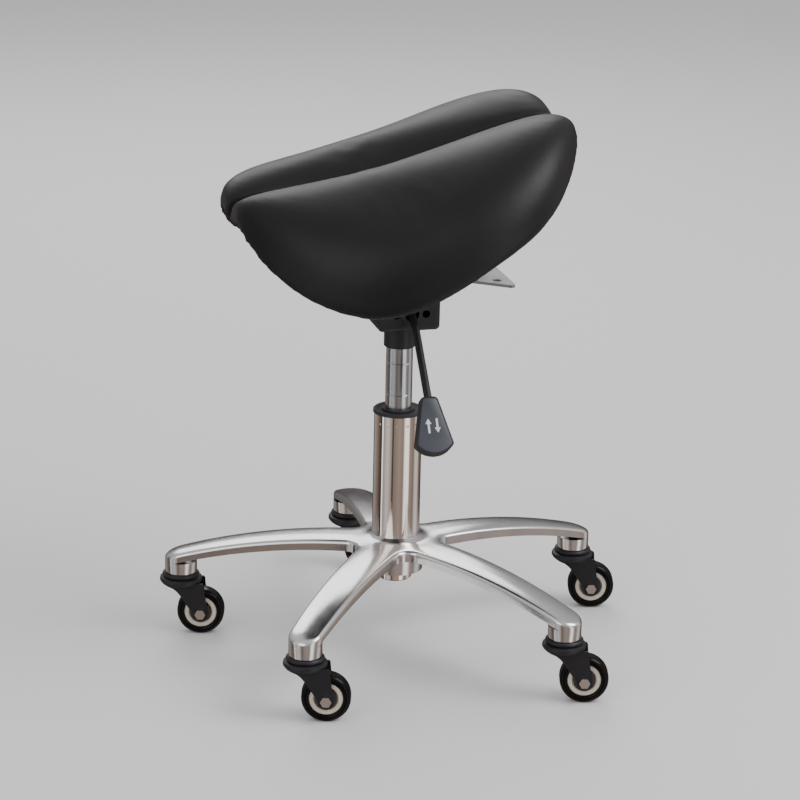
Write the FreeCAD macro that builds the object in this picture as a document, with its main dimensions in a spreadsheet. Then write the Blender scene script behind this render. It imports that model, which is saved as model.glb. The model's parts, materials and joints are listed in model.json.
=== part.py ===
"""Saddle stool: split seat on a gas-lift column, with a cast five-arm base on swivel casters.

Frame: millimetres, +Z up, origin on the floor under the column's axis. The narrow front of
the seat points to -Y, and the sitter's left hand, with the height lever, is at +X.
"""
import FreeCAD, Part
import math
import os

import Sketcher
from FreeCAD import Placement, Rotation, Vector

FOLDER = "parts"
CASTERS = 5
SIDES = {"left": 1, "right": -1}
UP = Vector(0, 0, 1)

# Driving dimensions: alias, value in millimetres or degrees, meaning
SIZES = [
    ("arm_reach", 227.5, "column axis to caster axis"),
    ("arm_turn", 34.6, "direction of the first arm, from +X"),
    ("arm_root_half", 24.0, "half width of an arm at the column axis"),
    ("arm_wall", 4.0, "wall of the cast arm"),
    ("arm_rib", 3.0, "rib under the middle of an arm"),
    ("arm_edge_round", 3.5, "rounding of the arm's upper edge"),
    ("arm_side_root", 20.0, "height of an arm's side by the hub"),
    ("arm_side_tip", 11.0, "height of an arm's side by its tip"),
    ("crown_root", 120.0, "height of the star's top beside the column"),
    ("crown_tip", 88.0, "height of an arm's top at its tip"),
    ("crown_bow", 640.0, "radius of the arch of an arm's top"),
    ("belly_bow", 330.0, "radius of the arch of an arm's underside"),
    ("web_round", 15.0, "radius of the web between two arms"),
    ("pod_radius", 17.0, "round tip of an arm"),
    ("pod_foot", 68.0, "height of the pod's lower face"),
    ("hub_radius", 29.0, "hub barrel under the arms"),
    ("hub_foot", 85.0, "lower face of the hub barrel"),
    ("column_radius", 25.0, "outer tube"),
    ("column_wall", 2.0, "wall of the outer tube"),
    ("column_rim", 257.0, "height of the outer tube's upper rim"),
    ("column_shoulder", 113.0, "height where the tube narrows into the hub"),
    ("column_neck", 20.5, "tube radius under the shoulder"),
    ("column_toe", 17.5, "tube radius at its lower end"),
    ("column_foot", 74.5, "height of the tube's lower end"),
    ("fit_gap", 0.1, "radial gap of parts pushed together"),
    ("slide_gap", 0.05, "radial gap of sliding and turning fits"),
    ("face_gap", 0.3, "gap between faces that move past each other"),
    ("bush_length", 60.0, "guide bushing inside the tube"),
    ("bush_flange", 26.3, "radius of the bushing's collar"),
    ("bush_flange_height", 3.5, "height of the bushing's collar"),
    ("bush_dish", 2.0, "depth of the dished top of the collar"),
    ("disc_height", 3.5, "steel disc in the tube's lower end"),
    ("race_height", 2.0, "one race of the thrust bearing"),
    ("race_radius", 11.0, "outer radius of the thrust bearing"),
    ("ball_radius", 1.5, "thrust bearing ball"),
    ("ball_count", 8, "balls in the thrust bearing"),
    ("rod_radius", 5.0, "piston rod"),
    ("rod_end_radius", 4.0, "stepped lower end of the rod"),
    ("lift_drop", 54.0, "how far the seat goes down from the photographed height"),
    ("stop_room", 3.0, "room over the piston rod when the seat is down"),
    ("clip_radius", 7.0, "outer radius of the retaining clip"),
    ("clip_height", 1.4, "thickness of the retaining clip"),
    ("buffer_radius", 9.5, "rubber buffer on the rod"),
    ("buffer_height", 11.0, "length of the rubber buffer"),
    ("piston_height", 16.0, "piston on the rod's upper end"),
    ("lift_radius", 14.0, "inner pressure tube"),
    ("lift_wall", 1.5, "wall of the pressure tube"),
    ("lift_length", 216.0, "pressure tube"),
    ("lift_clear", 37.0, "pressure tube's top, below the seat plate"),
    ("lift_taper", 54.0, "length of the tube's tapered top"),
    ("lift_head_radius", 13.0, "radius of the tapered top's end"),
    ("gland_height", 13.0, "rod guide and seal in the tube's lower end"),
    ("valve_radius", 10.5, "valve body in the tube's upper end"),
    ("valve_height", 26.0, "length of the valve body"),
    ("tube_cap", 6.0, "closed top of the pressure tube"),
    ("pin_radius", 2.5, "valve pin"),
    ("pin_proud", 5.0, "valve pin's tip above the pressure tube"),
    ("pin_travel", 3.2, "stroke of the valve pin"),
    ("socket_radius", 16.5, "taper socket under the mechanism"),
    ("socket_drop", 23.0, "socket below the housing's bottom"),
    ("socket_rise", 15.0, "socket inside the housing"),
    ("pan_depth", 58.0, "mechanism housing, top to bottom"),
    ("pan_half", 30.0, "half width of the housing"),
    ("pan_wall", 2.5, "sheet of the housing"),
    ("pan_back", 35.0, "housing's rear wall, behind the column axis"),
    ("pan_front", 28.0, "housing's bottom, in front of the column axis"),
    ("pan_nose", 64.0, "housing's sloping front wall at its top"),
    ("pan_round", 5.0, "rounding of the housing's corners"),
    ("pan_hole_radius", 4.0, "round holes in the housing's sides"),
    ("pan_hole_front", 15.5, "side hole in front of the lever"),
    ("pan_hole_rear", 15.5, "side hole behind the lever"),
    ("pan_hole_drop", 1.0, "those two holes, below the lever"),
    ("pan_hole_rise", 14.0, "upper side holes, above the lever"),
    ("pan_hole_nose", 26.0, "upper front side hole, in front of the lever"),
    ("plate_foot", 409.0, "height of the seat plate's underside, as photographed"),
    ("plate_sheet", 3.0, "sheet of the seat plate"),
    ("plate_half_width", 92.0, "seat plate at its ears"),
    ("plate_half_length", 96.0, "seat plate, front to back"),
    ("plate_waist", 31.0, "half width of the plate's waist"),
    ("plate_waist_half", 12.0, "half length of the plate's waist"),
    ("plate_round", 4.0, "rounding of the plate's ears"),
    ("ear_hole_x", 68.0, "spare ear holes, half spacing across"),
    ("ear_hole_y", 82.0, "spare ear holes, half spacing front to back"),
    ("ear_hole_radius", 4.5, "spare ear hole"),
    ("boss_x", 45.0, "seat bolts, half spacing across"),
    ("boss_y", 58.0, "seat bolts, half spacing front to back"),
    ("boss_radius", 10.0, "boss of the seat shell"),
    ("boss_web", 6.0, "web between the two bosses of a shell"),
    ("insert_radius", 5.0, "threaded insert"),
    ("insert_height", 14.0, "length of the threaded insert"),
    ("bolt_radius", 3.0, "seat bolt"),
    ("bolt_head", 5.8, "half the seat bolt head, over its corners"),
    ("bolt_head_height", 4.0, "height of the seat bolt's head"),
    ("bolt_length", 16.0, "length of the seat bolt"),
    ("lever_radius", 4.0, "lever rod"),
    ("lever_y", 4.0, "lever rod, behind the column axis"),
    ("lever_exit_drop", 39.0, "rod in the housing's wall, below the plate"),
    ("lever_inner_x", -8.0, "inner end of the lever"),
    ("lever_knee_x", 12.0, "lever's first bend"),
    ("lever_elbow_x", 46.0, "lever's second bend"),
    ("lever_elbow_drop", 49.5, "lever's second bend, below the plate"),
    ("lever_hand_x", 99.0, "upper end of the paddle"),
    ("lever_hand_drop", 107.0, "paddle's upper end, below the plate"),
    ("lever_bend", 16.0, "radius of the lever's bends"),
    ("tongue_half", 8.0, "half width of the flat tongue over the valve"),
    ("tongue_height", 5.0, "thickness of the tongue"),
    ("grommet_radius", 11.0, "grommet in the housing's wall"),
    ("grommet_lip", 2.0, "thickness of the grommet's lips"),
    ("grommet_play", 3.4, "room round the rod in the grommet"),
    ("paddle_length", 50.0, "paddle, to the corners of its rounded end"),
    ("paddle_end_bow", 24.0, "radius of the paddle's rounded end"),
    ("paddle_top_half", 8.5, "half width of the paddle's upper end"),
    ("paddle_tip_half", 20.0, "half width of the paddle's lower end"),
    ("paddle_sheet", 12.0, "thickness of the paddle"),
    ("paddle_angle", 56.4, "slope of the paddle"),
    ("paddle_socket", 26.0, "depth of the rod in the paddle"),
    ("caster_turn", 75.0, "direction in which the casters trail, from +X"),
    ("wheel_radius", 25.0, "caster wheel"),
    ("wheel_width", 20.0, "tread width"),
    ("tread_round", 5.0, "rounding of the tread's shoulders"),
    ("core_radius", 17.0, "wheel core under the tread"),
    ("core_width", 17.0, "width of the wheel core"),
    ("bearing_radius", 11.0, "wheel bearing, outside"),
    ("bearing_width", 6.0, "one wheel bearing"),
    ("axle_radius", 4.0, "axle bolt"),
    ("axle_hex", 5.8, "half the bolt head, over its corners"),
    ("axle_head", 5.0, "height of the bolt head"),
    ("nut_height", 6.0, "height of the axle nut"),
    ("trail", 21.3, "swivel axis to wheel axis"),
    ("fork_inner", 11.0, "half the room between the fork's legs"),
    ("fork_sheet", 2.8, "sheet of the fork"),
    ("fork_crown_radius", 22.5, "round crown of the fork"),
    ("fork_crown_foot", 55.8, "height of the crown's underside"),
    ("fork_crown_top", 63.5, "height of the crown's top"),
    ("fork_front_bow", 26.0, "hollow in front of the fork's leg"),
    ("fork_leg_bow", 60.0, "bow of the leg's leading edge"),
    ("fork_eye", 8.0, "radius of the leg round the axle"),
    ("cup_radius", 19.5, "fixed bearing cup over the crown"),
    ("cup_height", 4.2, "thickness of the cup"),
    ("kingpin_radius", 5.0, "kingpin through the crown"),
    ("rivet_radius", 8.0, "rivet head under the crown"),
    ("rivet_height", 2.8, "height of the rivet head"),
    ("stem_radius", 5.5, "threaded stem in the arm's pod"),
    ("stem_length", 15.0, "length of the threaded stem"),
    ("groove_half", 7.0, "half the groove between the seat halves"),
    ("groove_drop", 17.0, "groove edge under the crest, mid seat"),
    ("flap_sheet", 22.0, "foam and cover at the flap's edge"),
    ("pad_depth", 44.0, "foam and cover at the crest"),
    ("shell_sheet", 8.0, "seat shell"),
    ("shell_gap", 0.4, "gap between the foam and the shell"),
    ("shell_reach", 0.78, "share of the flap that the shell backs"),
]

# Stations of one seat half: name, y, crest x and height over the plate, flap edge x and height over
# the plate, share of full depth
STATIONS = [
    ("nose_tip", -184.0, 32.0, 85.0, 46.0, 73.0, 0.40),
    ("nose", -176.0, 38.0, 92.0, 66.0, 55.0, 0.62),
    ("knee", -150.0, 51.0, 101.0, 112.0, 28.0, 0.85),
    ("thigh", -105.0, 66.0, 108.0, 152.0, 7.0, 1.0),
    ("waist", -50.0, 77.0, 118.0, 175.0, 4.0, 1.0),
    ("middle", 5.0, 82.0, 133.0, 182.0, 26.0, 1.0),
    ("hip", 60.0, 80.0, 153.0, 177.0, 58.0, 1.0),
    ("rear", 105.0, 73.0, 168.0, 157.0, 85.0, 1.0),
    ("back", 140.0, 64.0, 173.0, 122.0, 118.0, 0.85),
    ("tail", 158.0, 57.0, 168.0, 88.0, 139.0, 0.6),
    ("tail_tip", 165.0, 52.0, 161.0, 68.0, 149.0, 0.38),
]
STATION_PARTS = ["at", "crest_x", "crest_rise", "flap_x", "flap_rise", "depth"]


class Size:
    """A dimension: its value now and the spreadsheet formula that gives it."""

    def __init__(self, value, formula=None):
        self.value = float(value)
        self.formula = formula or repr(float(value))

    @staticmethod
    def of(other):
        return other if isinstance(other, Size) else Size(other)

    def join(self, other, sign, value):
        return Size(value, "(%s %s %s)" % (self.formula, sign, Size.of(other).formula))

    def __add__(self, other):
        return self.join(other, "+", self.value + Size.of(other).value)

    def __sub__(self, other):
        return self.join(other, "-", self.value - Size.of(other).value)

    def __mul__(self, other):
        return self.join(other, "*", self.value * Size.of(other).value)

    def __truediv__(self, other):
        return self.join(other, "/", self.value / Size.of(other).value)

    def __radd__(self, other):
        return Size.of(other) + self

    def __rsub__(self, other):
        return Size.of(other) - self

    def __rmul__(self, other):
        return Size.of(other) * self

    def __neg__(self):
        return Size(-self.value, "(0 - %s)" % self.formula)


class Sheet:
    """The spreadsheet of driving dimensions, read as attributes by alias."""

    def __init__(self, document):
        self.table = document.addObject("Spreadsheet::Sheet", "Sizes")
        rows = list(SIZES)
        for station in STATIONS:
            for part, value in zip(STATION_PARTS, station[1:]):
                rows.append((station[0] + "_" + part, value, "seat station " + station[0]))
        for row, (alias, value, meaning) in enumerate(rows, start=1):
            self.table.set("A%d" % row, meaning)
            self.table.set("B%d" % row, str(value))
            self.table.setAlias("B%d" % row, alias)
        document.recompute()

    def __getattr__(self, alias):
        return Size(self.table.get(alias), "Sizes." + alias)

    def named(self, *words):
        """Size whose alias is the words joined together."""
        return getattr(self, "_".join(words))


doc = FreeCAD.newDocument("SaddleStool")
s = Sheet(doc)
nodes = []

# Heights that hang from the seat plate
lift_top = s.plate_foot - s.lift_clear
lift_foot = lift_top - s.lift_length
pin_top = lift_top + s.pin_proud
rod_top = lift_top - s.tube_cap - s.valve_height - s.lift_drop - s.stop_room
pan_foot = s.plate_foot - s.pan_depth
socket_foot = pan_foot - s.socket_drop
socket_top = pan_foot + s.socket_rise
lever_exit = s.plate_foot - s.lever_exit_drop
lever_elbow = s.plate_foot - s.lever_elbow_drop
lever_hand = s.plate_foot - s.lever_hand_drop


def finished(item, label, spot=None):
    """Give a sub-part its label and place, and keep it for writing."""
    item.Label = label
    if spot is not None:
        item.Placement = spot
    nodes.append(item)
    return item


def bind(item, prop, size):
    """Tie one property of an object to the sheet."""
    item.setExpression(prop, Size.of(size).formula)


def new_body(label):
    return doc.addObject("PartDesign::Body", label)


def sketch_on(body, role, offset=None):
    """Empty sketch on one of the body's own origin planes, moved along its normal."""
    plane = next(f for f in body.Origin.OriginFeatures if f.Role == role)
    sketch = body.newObject("Sketcher::SketchObject", body.Name + "_sketch")
    sketch.AttachmentSupport = [(plane, "")]
    sketch.MapMode = "FlatFace"
    if offset is not None:
        bind(sketch, "AttachmentOffset.Base.z", offset)
        doc.recompute()
    return sketch


def fix_point(sketch, edge, end, across, up):
    """Hold one end of an edge at its two coordinates."""
    for kind, axis, size in (("DistanceX", -2, across), ("DistanceY", -1, up)):
        size = Size.of(size)
        if size.formula == "0.0":
            sketch.addConstraint(Sketcher.Constraint("PointOnObject", edge, end, axis))
            continue
        number = sketch.addConstraint(Sketcher.Constraint(kind, -1, 1, edge, end, size.value))
        sketch.setExpression("Constraints[%d]" % number, size.formula)


def arc_between(start, finish, radius, turn):
    """Arc of under half a circle from start to finish; turn is +1 when it runs anticlockwise."""
    chord = finish - start
    half = chord.Length / 2
    rise = math.sqrt(max(radius * radius - half * half, 0.0))
    normal = Vector(-chord.y, chord.x, 0).normalize()
    centre = (start + finish) / 2 + normal * (rise * turn)
    first, last = (start, finish) if turn > 0 else (finish, start)
    angles = [math.atan2(p.y - centre.y, p.x - centre.x) for p in (first, last)]
    return Part.ArcOfCircle(Part.Circle(centre, UP, radius), angles[0], angles[1])


def outline(sketch, corners, arcs=None):
    """Close a profile through the corners; arcs gives (radius, turn) for the sides that are bent."""
    arcs = arcs or {}
    points = [Vector(Size.of(c[0]).value, Size.of(c[1]).value, 0) for c in corners]
    ends = []
    for side, start in enumerate(points):
        finish = points[(side + 1) % len(points)]
        if side in arcs:
            radius, turn = arcs[side]
            edge = sketch.addGeometry(arc_between(start, finish, Size.of(radius).value, turn), False)
            ends.append((edge, 1, 2) if turn > 0 else (edge, 2, 1))
        else:
            ends.append((sketch.addGeometry(Part.LineSegment(start, finish), False), 1, 2))
    for side, (edge, first, last) in enumerate(ends):
        following = ends[(side + 1) % len(ends)]
        sketch.addConstraint(Sketcher.Constraint("Coincident", edge, last, following[0], following[1]))
        fix_point(sketch, edge, first, *corners[side])
    for side, (radius, turn) in arcs.items():
        number = sketch.addConstraint(Sketcher.Constraint("Radius", ends[side][0], Size.of(radius).value))
        sketch.setExpression("Constraints[%d]" % number, Size.of(radius).formula)
    return sketch


def ring(sketch, across, up, radius):
    """Full circle at a place in the sketch."""
    centre = Vector(Size.of(across).value, Size.of(up).value, 0)
    edge = sketch.addGeometry(Part.Circle(centre, UP, Size.of(radius).value), False)
    fix_point(sketch, edge, 3, across, up)
    number = sketch.addConstraint(Sketcher.Constraint("Radius", edge, Size.of(radius).value))
    sketch.setExpression("Constraints[%d]" % number, Size.of(radius).formula)
    return sketch


def pad(body, sketch, length, both_sides=False, reverse=False):
    feature = body.newObject("PartDesign::Pad", body.Name + "_pad")
    feature.Profile = sketch
    feature.Midplane = both_sides
    feature.Reversed = reverse
    bind(feature, "Length", length)
    return feature


def pocket(body, sketch, length=None, both_sides=False, reverse=False):
    """Cut a sketch into the body, through all of it where no length is given."""
    feature = body.newObject("PartDesign::Pocket", body.Name + "_pocket")
    feature.Profile = sketch
    feature.Midplane = both_sides
    feature.Reversed = reverse
    if length is None:
        feature.Type = "ThroughAll"
    else:
        bind(feature, "Length", length)
    return feature


def revolve(body, sketch, kind="Revolution"):
    """Full turn of a profile about the sketch's upright axis; kind Groove cuts it away."""
    feature = body.newObject("PartDesign::" + kind, body.Name + "_" + kind.lower())
    feature.Profile = sketch
    feature.ReferenceAxis = (sketch, ["V_Axis"])
    feature.Angle = 360
    return feature


def polar(body, features, count):
    """Repeat features about the body's upright axis."""
    axis = next(f for f in body.Origin.OriginFeatures if f.Role == "Z_Axis")
    pattern = body.newObject("PartDesign::PolarPattern", body.Name + "_pattern")
    pattern.Originals = features
    pattern.Axis = (axis, [""])
    pattern.Angle = 360
    pattern.Occurrences = count
    body.Tip = pattern
    return pattern


def edges_where(shape, test):
    """Names of the edges that pass a test."""
    return ["Edge%d" % (i + 1) for i, edge in enumerate(shape.Edges) if test(edge)]


def soften(body, base, names, radius, kind="Fillet"):
    feature = body.newObject("PartDesign::" + kind, body.Name + "_" + kind.lower())
    feature.Base = (base, names)
    bind(feature, "Radius" if kind == "Fillet" else "Size", radius)
    return feature


def turned(label, corners, arcs=None, spot=None, keep=True):
    """A piece turned on a lathe: its half section about the upright axis."""
    body = new_body(label)
    revolve(body, outline(sketch_on(body, "XZ_Plane"), corners, arcs))
    return finished(body, label, spot) if keep else body


def sleeve(label, inner, outer, foot, top, spot=None, keep=True):
    """Plain ring or tube."""
    corners = [(inner, foot), (outer, foot), (outer, top), (inner, top)]
    return turned(label, corners, None, spot, keep)


def prism(radius, height, foot, name):
    """Six-sided bar standing on a height."""
    bar = doc.addObject("Part::Prism", name)
    bar.Polygon = 6
    bind(bar, "Circumradius", radius)
    bind(bar, "Height", height)
    bind(bar, "Placement.Base.z", foot)
    return bar


def cylinder(radius, height, foot, name):
    rod = doc.addObject("Part::Cylinder", name)
    bind(rod, "Radius", radius)
    bind(rod, "Height", height)
    bind(rod, "Placement.Base.z", foot)
    return rod


def joined(name, *shapes):
    fuse = doc.addObject("Part::MultiFuse", name)
    fuse.Shapes = list(shapes)
    return fuse


def cut(name, base, tool):
    result = doc.addObject("Part::Cut", name)
    result.Base = base
    result.Tool = tool
    return result


def group(label, shapes, spot=None):
    """Separate solids that share one node."""
    compound = doc.addObject("Part::Compound", label)
    compound.Links = list(shapes)
    return finished(compound, label, spot)


def turn_about_axis(number):
    """Direction of one arm of the star, in degrees."""
    return s.arm_turn.value + number * 360.0 / CASTERS


# Star base

def make_star_base():
    """Cast star: five arched arms with hollow, ribbed undersides, webs, pods and a tapered hub."""
    body = new_body("star_base")
    roof = s.crown_root + s.arm_side_root
    floor = s.pod_foot - s.pod_radius
    arm = sketch_on(body, "XY_Plane", floor)
    far = s.arm_reach
    outline(arm, [(0, -s.arm_root_half), (far, -s.pod_radius), (far, s.pod_radius), (0, s.arm_root_half)])
    arm_pad = pad(body, arm, roof - floor)
    tip = ring(sketch_on(body, "XY_Plane", floor), far, 0, s.pod_radius)
    tip_pad = pad(body, tip, roof - floor)
    star = polar(body, [arm_pad, tip_pad], CASTERS)
    doc.recompute()

    def in_notch(edge):
        ends = [v.Point for v in edge.Vertexes]
        upright = len(ends) == 2 and abs(ends[0].x - ends[1].x) + abs(ends[0].y - ends[1].y) < 0.01
        return upright and math.hypot(ends[0].x, ends[0].y) < 2.5 * s.arm_root_half.value
    webs = soften(body, star, edges_where(star.Shape, in_notch), s.web_round)

    outside = far + 2 * s.pod_radius
    above = sketch_on(body, "XZ_Plane")
    outline(above, [(0, s.crown_root), (s.column_radius + 3, s.crown_root),
                    (far + s.pod_radius + 2, s.crown_tip), (outside, s.crown_tip),
                    (outside, roof + s.pod_radius), (0, roof + s.pod_radius)],
            {1: (s.crown_bow, -1)})
    revolve(body, above, "Groove")
    root_foot = s.crown_root - s.arm_side_root
    tip_foot = s.crown_tip - s.arm_side_tip
    below = sketch_on(body, "XZ_Plane")
    outline(below, [(0, s.hub_foot), (s.hub_radius, s.hub_foot), (s.hub_radius + 26, root_foot),
                    (far, tip_foot), (outside, tip_foot), (outside, floor - s.pod_radius),
                    (0, floor - s.pod_radius)],
            {2: (s.belly_bow, -1)})
    revolve(body, below, "Groove")

    pod = ring(sketch_on(body, "XY_Plane", s.pod_foot), far, 0, s.pod_radius)
    pods = polar(body, [pad(body, pod, s.crown_tip - s.arm_edge_round - s.pod_foot)], CASTERS)
    doc.recompute()

    def on_rim(edge):
        middle = edge.valueAt((edge.FirstParameter + edge.LastParameter) / 2)
        reach = math.hypot(middle.x, middle.y)
        return reach > s.column_radius.value + 5 and abs(middle.z - crown_height(reach)) < 0.2
    soften(body, pods, edges_where(pods.Shape, on_rim), s.arm_edge_round)

    barrel = sketch_on(body, "XZ_Plane")
    outline(barrel, [(0, s.hub_foot), (s.hub_radius - 2, s.hub_foot), (s.hub_radius, s.hub_foot + 2),
                     (s.hub_radius, s.crown_root - 6), (0, s.crown_root - 6)])
    revolve(body, barrel)
    hollow_arms(body)
    bores(body)
    return finished(body, "star_base", Placement(Vector(), Rotation(UP, s.arm_turn.value)))


def crown_height(reach):
    """Height of the arched top of the star at a distance from the axis."""
    start = Vector(s.column_radius.value + 3, s.crown_root.value, 0)
    finish = Vector(s.arm_reach.value + s.pod_radius.value + 2, s.crown_tip.value, 0)
    arc = arc_between(start, finish, s.crown_bow.value, -1)
    centre = arc.Center
    return centre.y + math.sqrt(max(s.crown_bow.value ** 2 - (reach - centre.x) ** 2, 0.0))


def hollow_arms(body):
    """Channel under each arm, with a rib down its middle."""
    start = s.hub_radius + 14
    finish = s.arm_reach - s.pod_radius - 3
    sections = []
    for share in (0.0, 0.5, 1.0):
        reach = start + (finish - start) * share
        half = s.arm_root_half + (s.pod_radius - s.arm_root_half) * (reach / s.arm_reach) - s.arm_wall
        top = Size(crown_height(reach.value)) - s.arm_wall
        face = sketch_on(body, "YZ_Plane", reach)
        foot = s.pod_foot
        outline(face, [(-half, foot), (half, foot), (half, top), (-half, top)])
        sections.append(face)
    channel = body.newObject("PartDesign::SubtractiveLoft", "arm_channel")
    channel.Profile = sections[0]
    channel.Sections = sections[1:]
    polar(body, [channel], CASTERS)
    rib = sketch_on(body, "XZ_Plane")
    low = s.crown_root - s.arm_side_root + 5
    first = start - 4
    last = finish + 4
    roof = Size(crown_height(last.value)) - 2
    outline(rib, [(first, low), (last, s.crown_tip - s.arm_side_tip + 5),
                  (last, roof), (first, Size(crown_height(first.value)) - 2)],
            {0: (s.belly_bow, -1), 2: (s.crown_bow, 1)})
    polar(body, [pad(body, rib, s.arm_rib, both_sides=True)], CASTERS)


def bores(body):
    """Tapered bore for the column, and a stem bore in each pod."""
    gap = s.fit_gap
    bore = sketch_on(body, "XZ_Plane")
    outline(bore, [(0, s.column_foot), (s.column_toe + gap, s.column_foot),
                   (s.column_neck + gap, s.column_shoulder - 8), (s.column_radius + gap, s.column_shoulder),
                   (s.column_radius + gap, s.crown_root + 30), (0, s.crown_root + 30)])
    revolve(body, bore, "Groove")
    stem = ring(sketch_on(body, "XY_Plane", s.pod_foot), s.arm_reach, 0, s.stem_radius + gap)
    hole = pocket(body, stem, s.stem_length + 1, reverse=True)
    polar(body, [hole], CASTERS)


# Column

def make_column():
    """Outer tube with its guide bushing, and the bearing and clip in its lower end."""
    wall = s.column_wall
    inner = s.column_radius - wall
    foot = s.column_foot
    neck = s.column_shoulder - 8
    disc_foot = foot + 1.5
    toe_inner = s.column_toe - wall
    turned("column_tube", [
        (toe_inner - 2, foot), (s.column_toe - 1, foot), (s.column_toe, foot + 1), (s.column_neck, neck),
        (s.column_radius, s.column_shoulder), (s.column_radius, s.column_rim), (inner, s.column_rim),
        (inner, s.column_shoulder + 1), (s.column_neck - wall, neck), (toe_inner, disc_foot),
        (toe_inner - 2, disc_foot)])

    slide = s.lift_radius + s.slide_gap
    rim = s.column_rim
    lip = rim + s.bush_flange_height
    turned("guide_bushing", [
        (slide, rim - s.bush_length), (inner - s.fit_gap, rim - s.bush_length), (inner - s.fit_gap, rim),
        (s.bush_flange, rim), (s.bush_flange, lip - 1), (s.bush_flange - 1, lip),
        (s.bush_flange - 3, lip), (slide + 2.5, lip - s.bush_dish), (slide + 2.5, lip + 0.5),
        (slide, lip + 0.5)])

    disc_top = disc_foot + s.disc_height
    shaft = s.rod_end_radius + s.slide_gap
    sleeve("column_end_disc", shaft + 0.25, toe_inner - s.fit_gap, disc_foot, disc_top)
    race_top = disc_top + s.race_height
    sleeve("bearing_race_lower", shaft + 0.25, s.race_radius, disc_top, race_top)
    balls_top = race_top + 2 * s.ball_radius
    thrust_bearing(race_top, balls_top, shaft)
    sleeve("bearing_race_upper", shaft, s.race_radius, balls_top + s.slide_gap, balls_top + s.race_height)
    return disc_foot, balls_top + s.race_height


def thrust_bearing(foot, top, shaft):
    """Cage with its balls, between the two races."""
    middle = (foot + top) / 2
    track = (s.race_radius + shaft) / 2
    cage = sleeve("bearing_cage_ring", shaft + 0.5, s.race_radius - 0.5, foot + 0.6, top - 0.6, keep=False)
    balls = []
    for number in range(int(s.ball_count.value)):
        angle = math.radians(number * 360.0 / s.ball_count.value)
        ball = doc.addObject("Part::Sphere", "bearing_ball")
        bind(ball, "Radius", s.ball_radius)
        bind(ball, "Placement.Base.x", track * math.cos(angle))
        bind(ball, "Placement.Base.y", track * math.sin(angle))
        bind(ball, "Placement.Base.z", middle)
        balls.append(ball)
    bearing = joined("thrust_bearing", cage, *balls)
    finished(bearing, "thrust_bearing")


def make_piston(disc_foot, shoulder):
    """Piston rod on the thrust bearing, with its clip, buffer and piston."""
    end = s.rod_end_radius
    clip_top = disc_foot - s.face_gap
    clip_foot = clip_top - s.clip_height
    neck = end - 0.8
    turned("piston_rod", [
        (0, clip_foot - 3), (end - 0.5, clip_foot - 3), (end, clip_foot - 2.5),
        (end, clip_foot - 0.05), (neck, clip_foot - 0.05), (neck, clip_top + 0.05), (end, clip_top + 0.05),
        (end, shoulder), (s.rod_radius, shoulder), (s.rod_radius, rod_top), (0, rod_top)])
    sleeve("rod_clip", neck + 0.05, s.clip_radius, clip_foot, clip_top)
    buffer_foot = shoulder + s.face_gap
    buffer_top = buffer_foot + s.buffer_height
    sleeve("rubber_buffer", s.rod_radius + s.fit_gap, s.buffer_radius, buffer_foot, buffer_top)
    head_foot = rod_top - 3 - s.piston_height
    bore = s.lift_radius - s.lift_wall
    head = bore - s.slide_gap
    seal = head_foot + s.piston_height / 2
    turned("piston_head", [
        (s.rod_radius, head_foot), (head, head_foot), (head, seal - 2), (head - 1.5, seal - 2),
        (head - 1.5, seal + 2), (head, seal + 2), (head, rod_top - 3), (s.rod_radius, rod_top - 3)])


def make_lift():
    """Pressure tube with its rod gland, valve body and valve pin."""
    bore = s.lift_radius - s.lift_wall
    foot = lift_foot
    valve_foot = lift_top - s.tube_cap - s.valve_height
    cap = lift_top - s.tube_cap
    lip = foot + 1
    groove = socket_foot - 17
    turned("pressure_tube", [
        (bore - 2, foot), (s.lift_radius - 1, foot), (s.lift_radius, foot + 1),
        (s.lift_radius, groove - 34), (s.lift_radius - 0.4, groove - 33.5), (s.lift_radius, groove - 33),
        (s.lift_radius, groove), (s.lift_radius - 0.4, groove + 0.5), (s.lift_radius, groove + 1),
        (s.lift_radius, lift_top - s.lift_taper), (s.lift_head_radius, lift_top),
        (s.pin_radius + s.slide_gap, lift_top), (s.pin_radius + s.slide_gap, cap),
        (s.valve_radius + s.fit_gap, cap), (s.valve_radius + s.fit_gap, valve_foot),
        (bore, valve_foot - 2), (bore, lip), (bore - 2, lip)])
    shaft = s.rod_radius + s.slide_gap
    gland_top = lip + s.gland_height
    turned("rod_gland", [
        (shaft, lip), (bore - s.fit_gap, lip), (bore - s.fit_gap, gland_top - 2), (bore - 2, gland_top),
        (shaft + 1, gland_top), (shaft + 1, lip + 5), (shaft, lip + 5)])
    chamber = valve_foot + 8
    turned("valve_body", [
        (0, valve_foot), (s.valve_radius - 1, valve_foot), (s.valve_radius, valve_foot + 1),
        (s.valve_radius, cap), (s.pin_radius + s.slide_gap, cap), (s.pin_radius + s.slide_gap, cap - 5),
        (s.pin_radius + 2.5, cap - 5), (s.pin_radius + 2.5, chamber), (0, chamber)])
    collar = cap - 5 - s.slide_gap
    pin_foot = chamber + s.pin_travel + 1
    turned("valve_pin", [
        (0, pin_foot), (s.pin_radius, pin_foot), (s.pin_radius, collar - 2), (s.pin_radius + 2, collar - 2),
        (s.pin_radius + 2, collar), (s.pin_radius, collar), (s.pin_radius, pin_top - 1),
        (s.pin_radius - 1, pin_top), (0, pin_top)])


# Seat mechanism

def taper_radius(height):
    """Radius of the pressure tube's tapered top at a height."""
    start = lift_top - s.lift_taper
    return s.lift_radius + (s.lift_head_radius - s.lift_radius) * ((height - start) / s.lift_taper)


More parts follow.
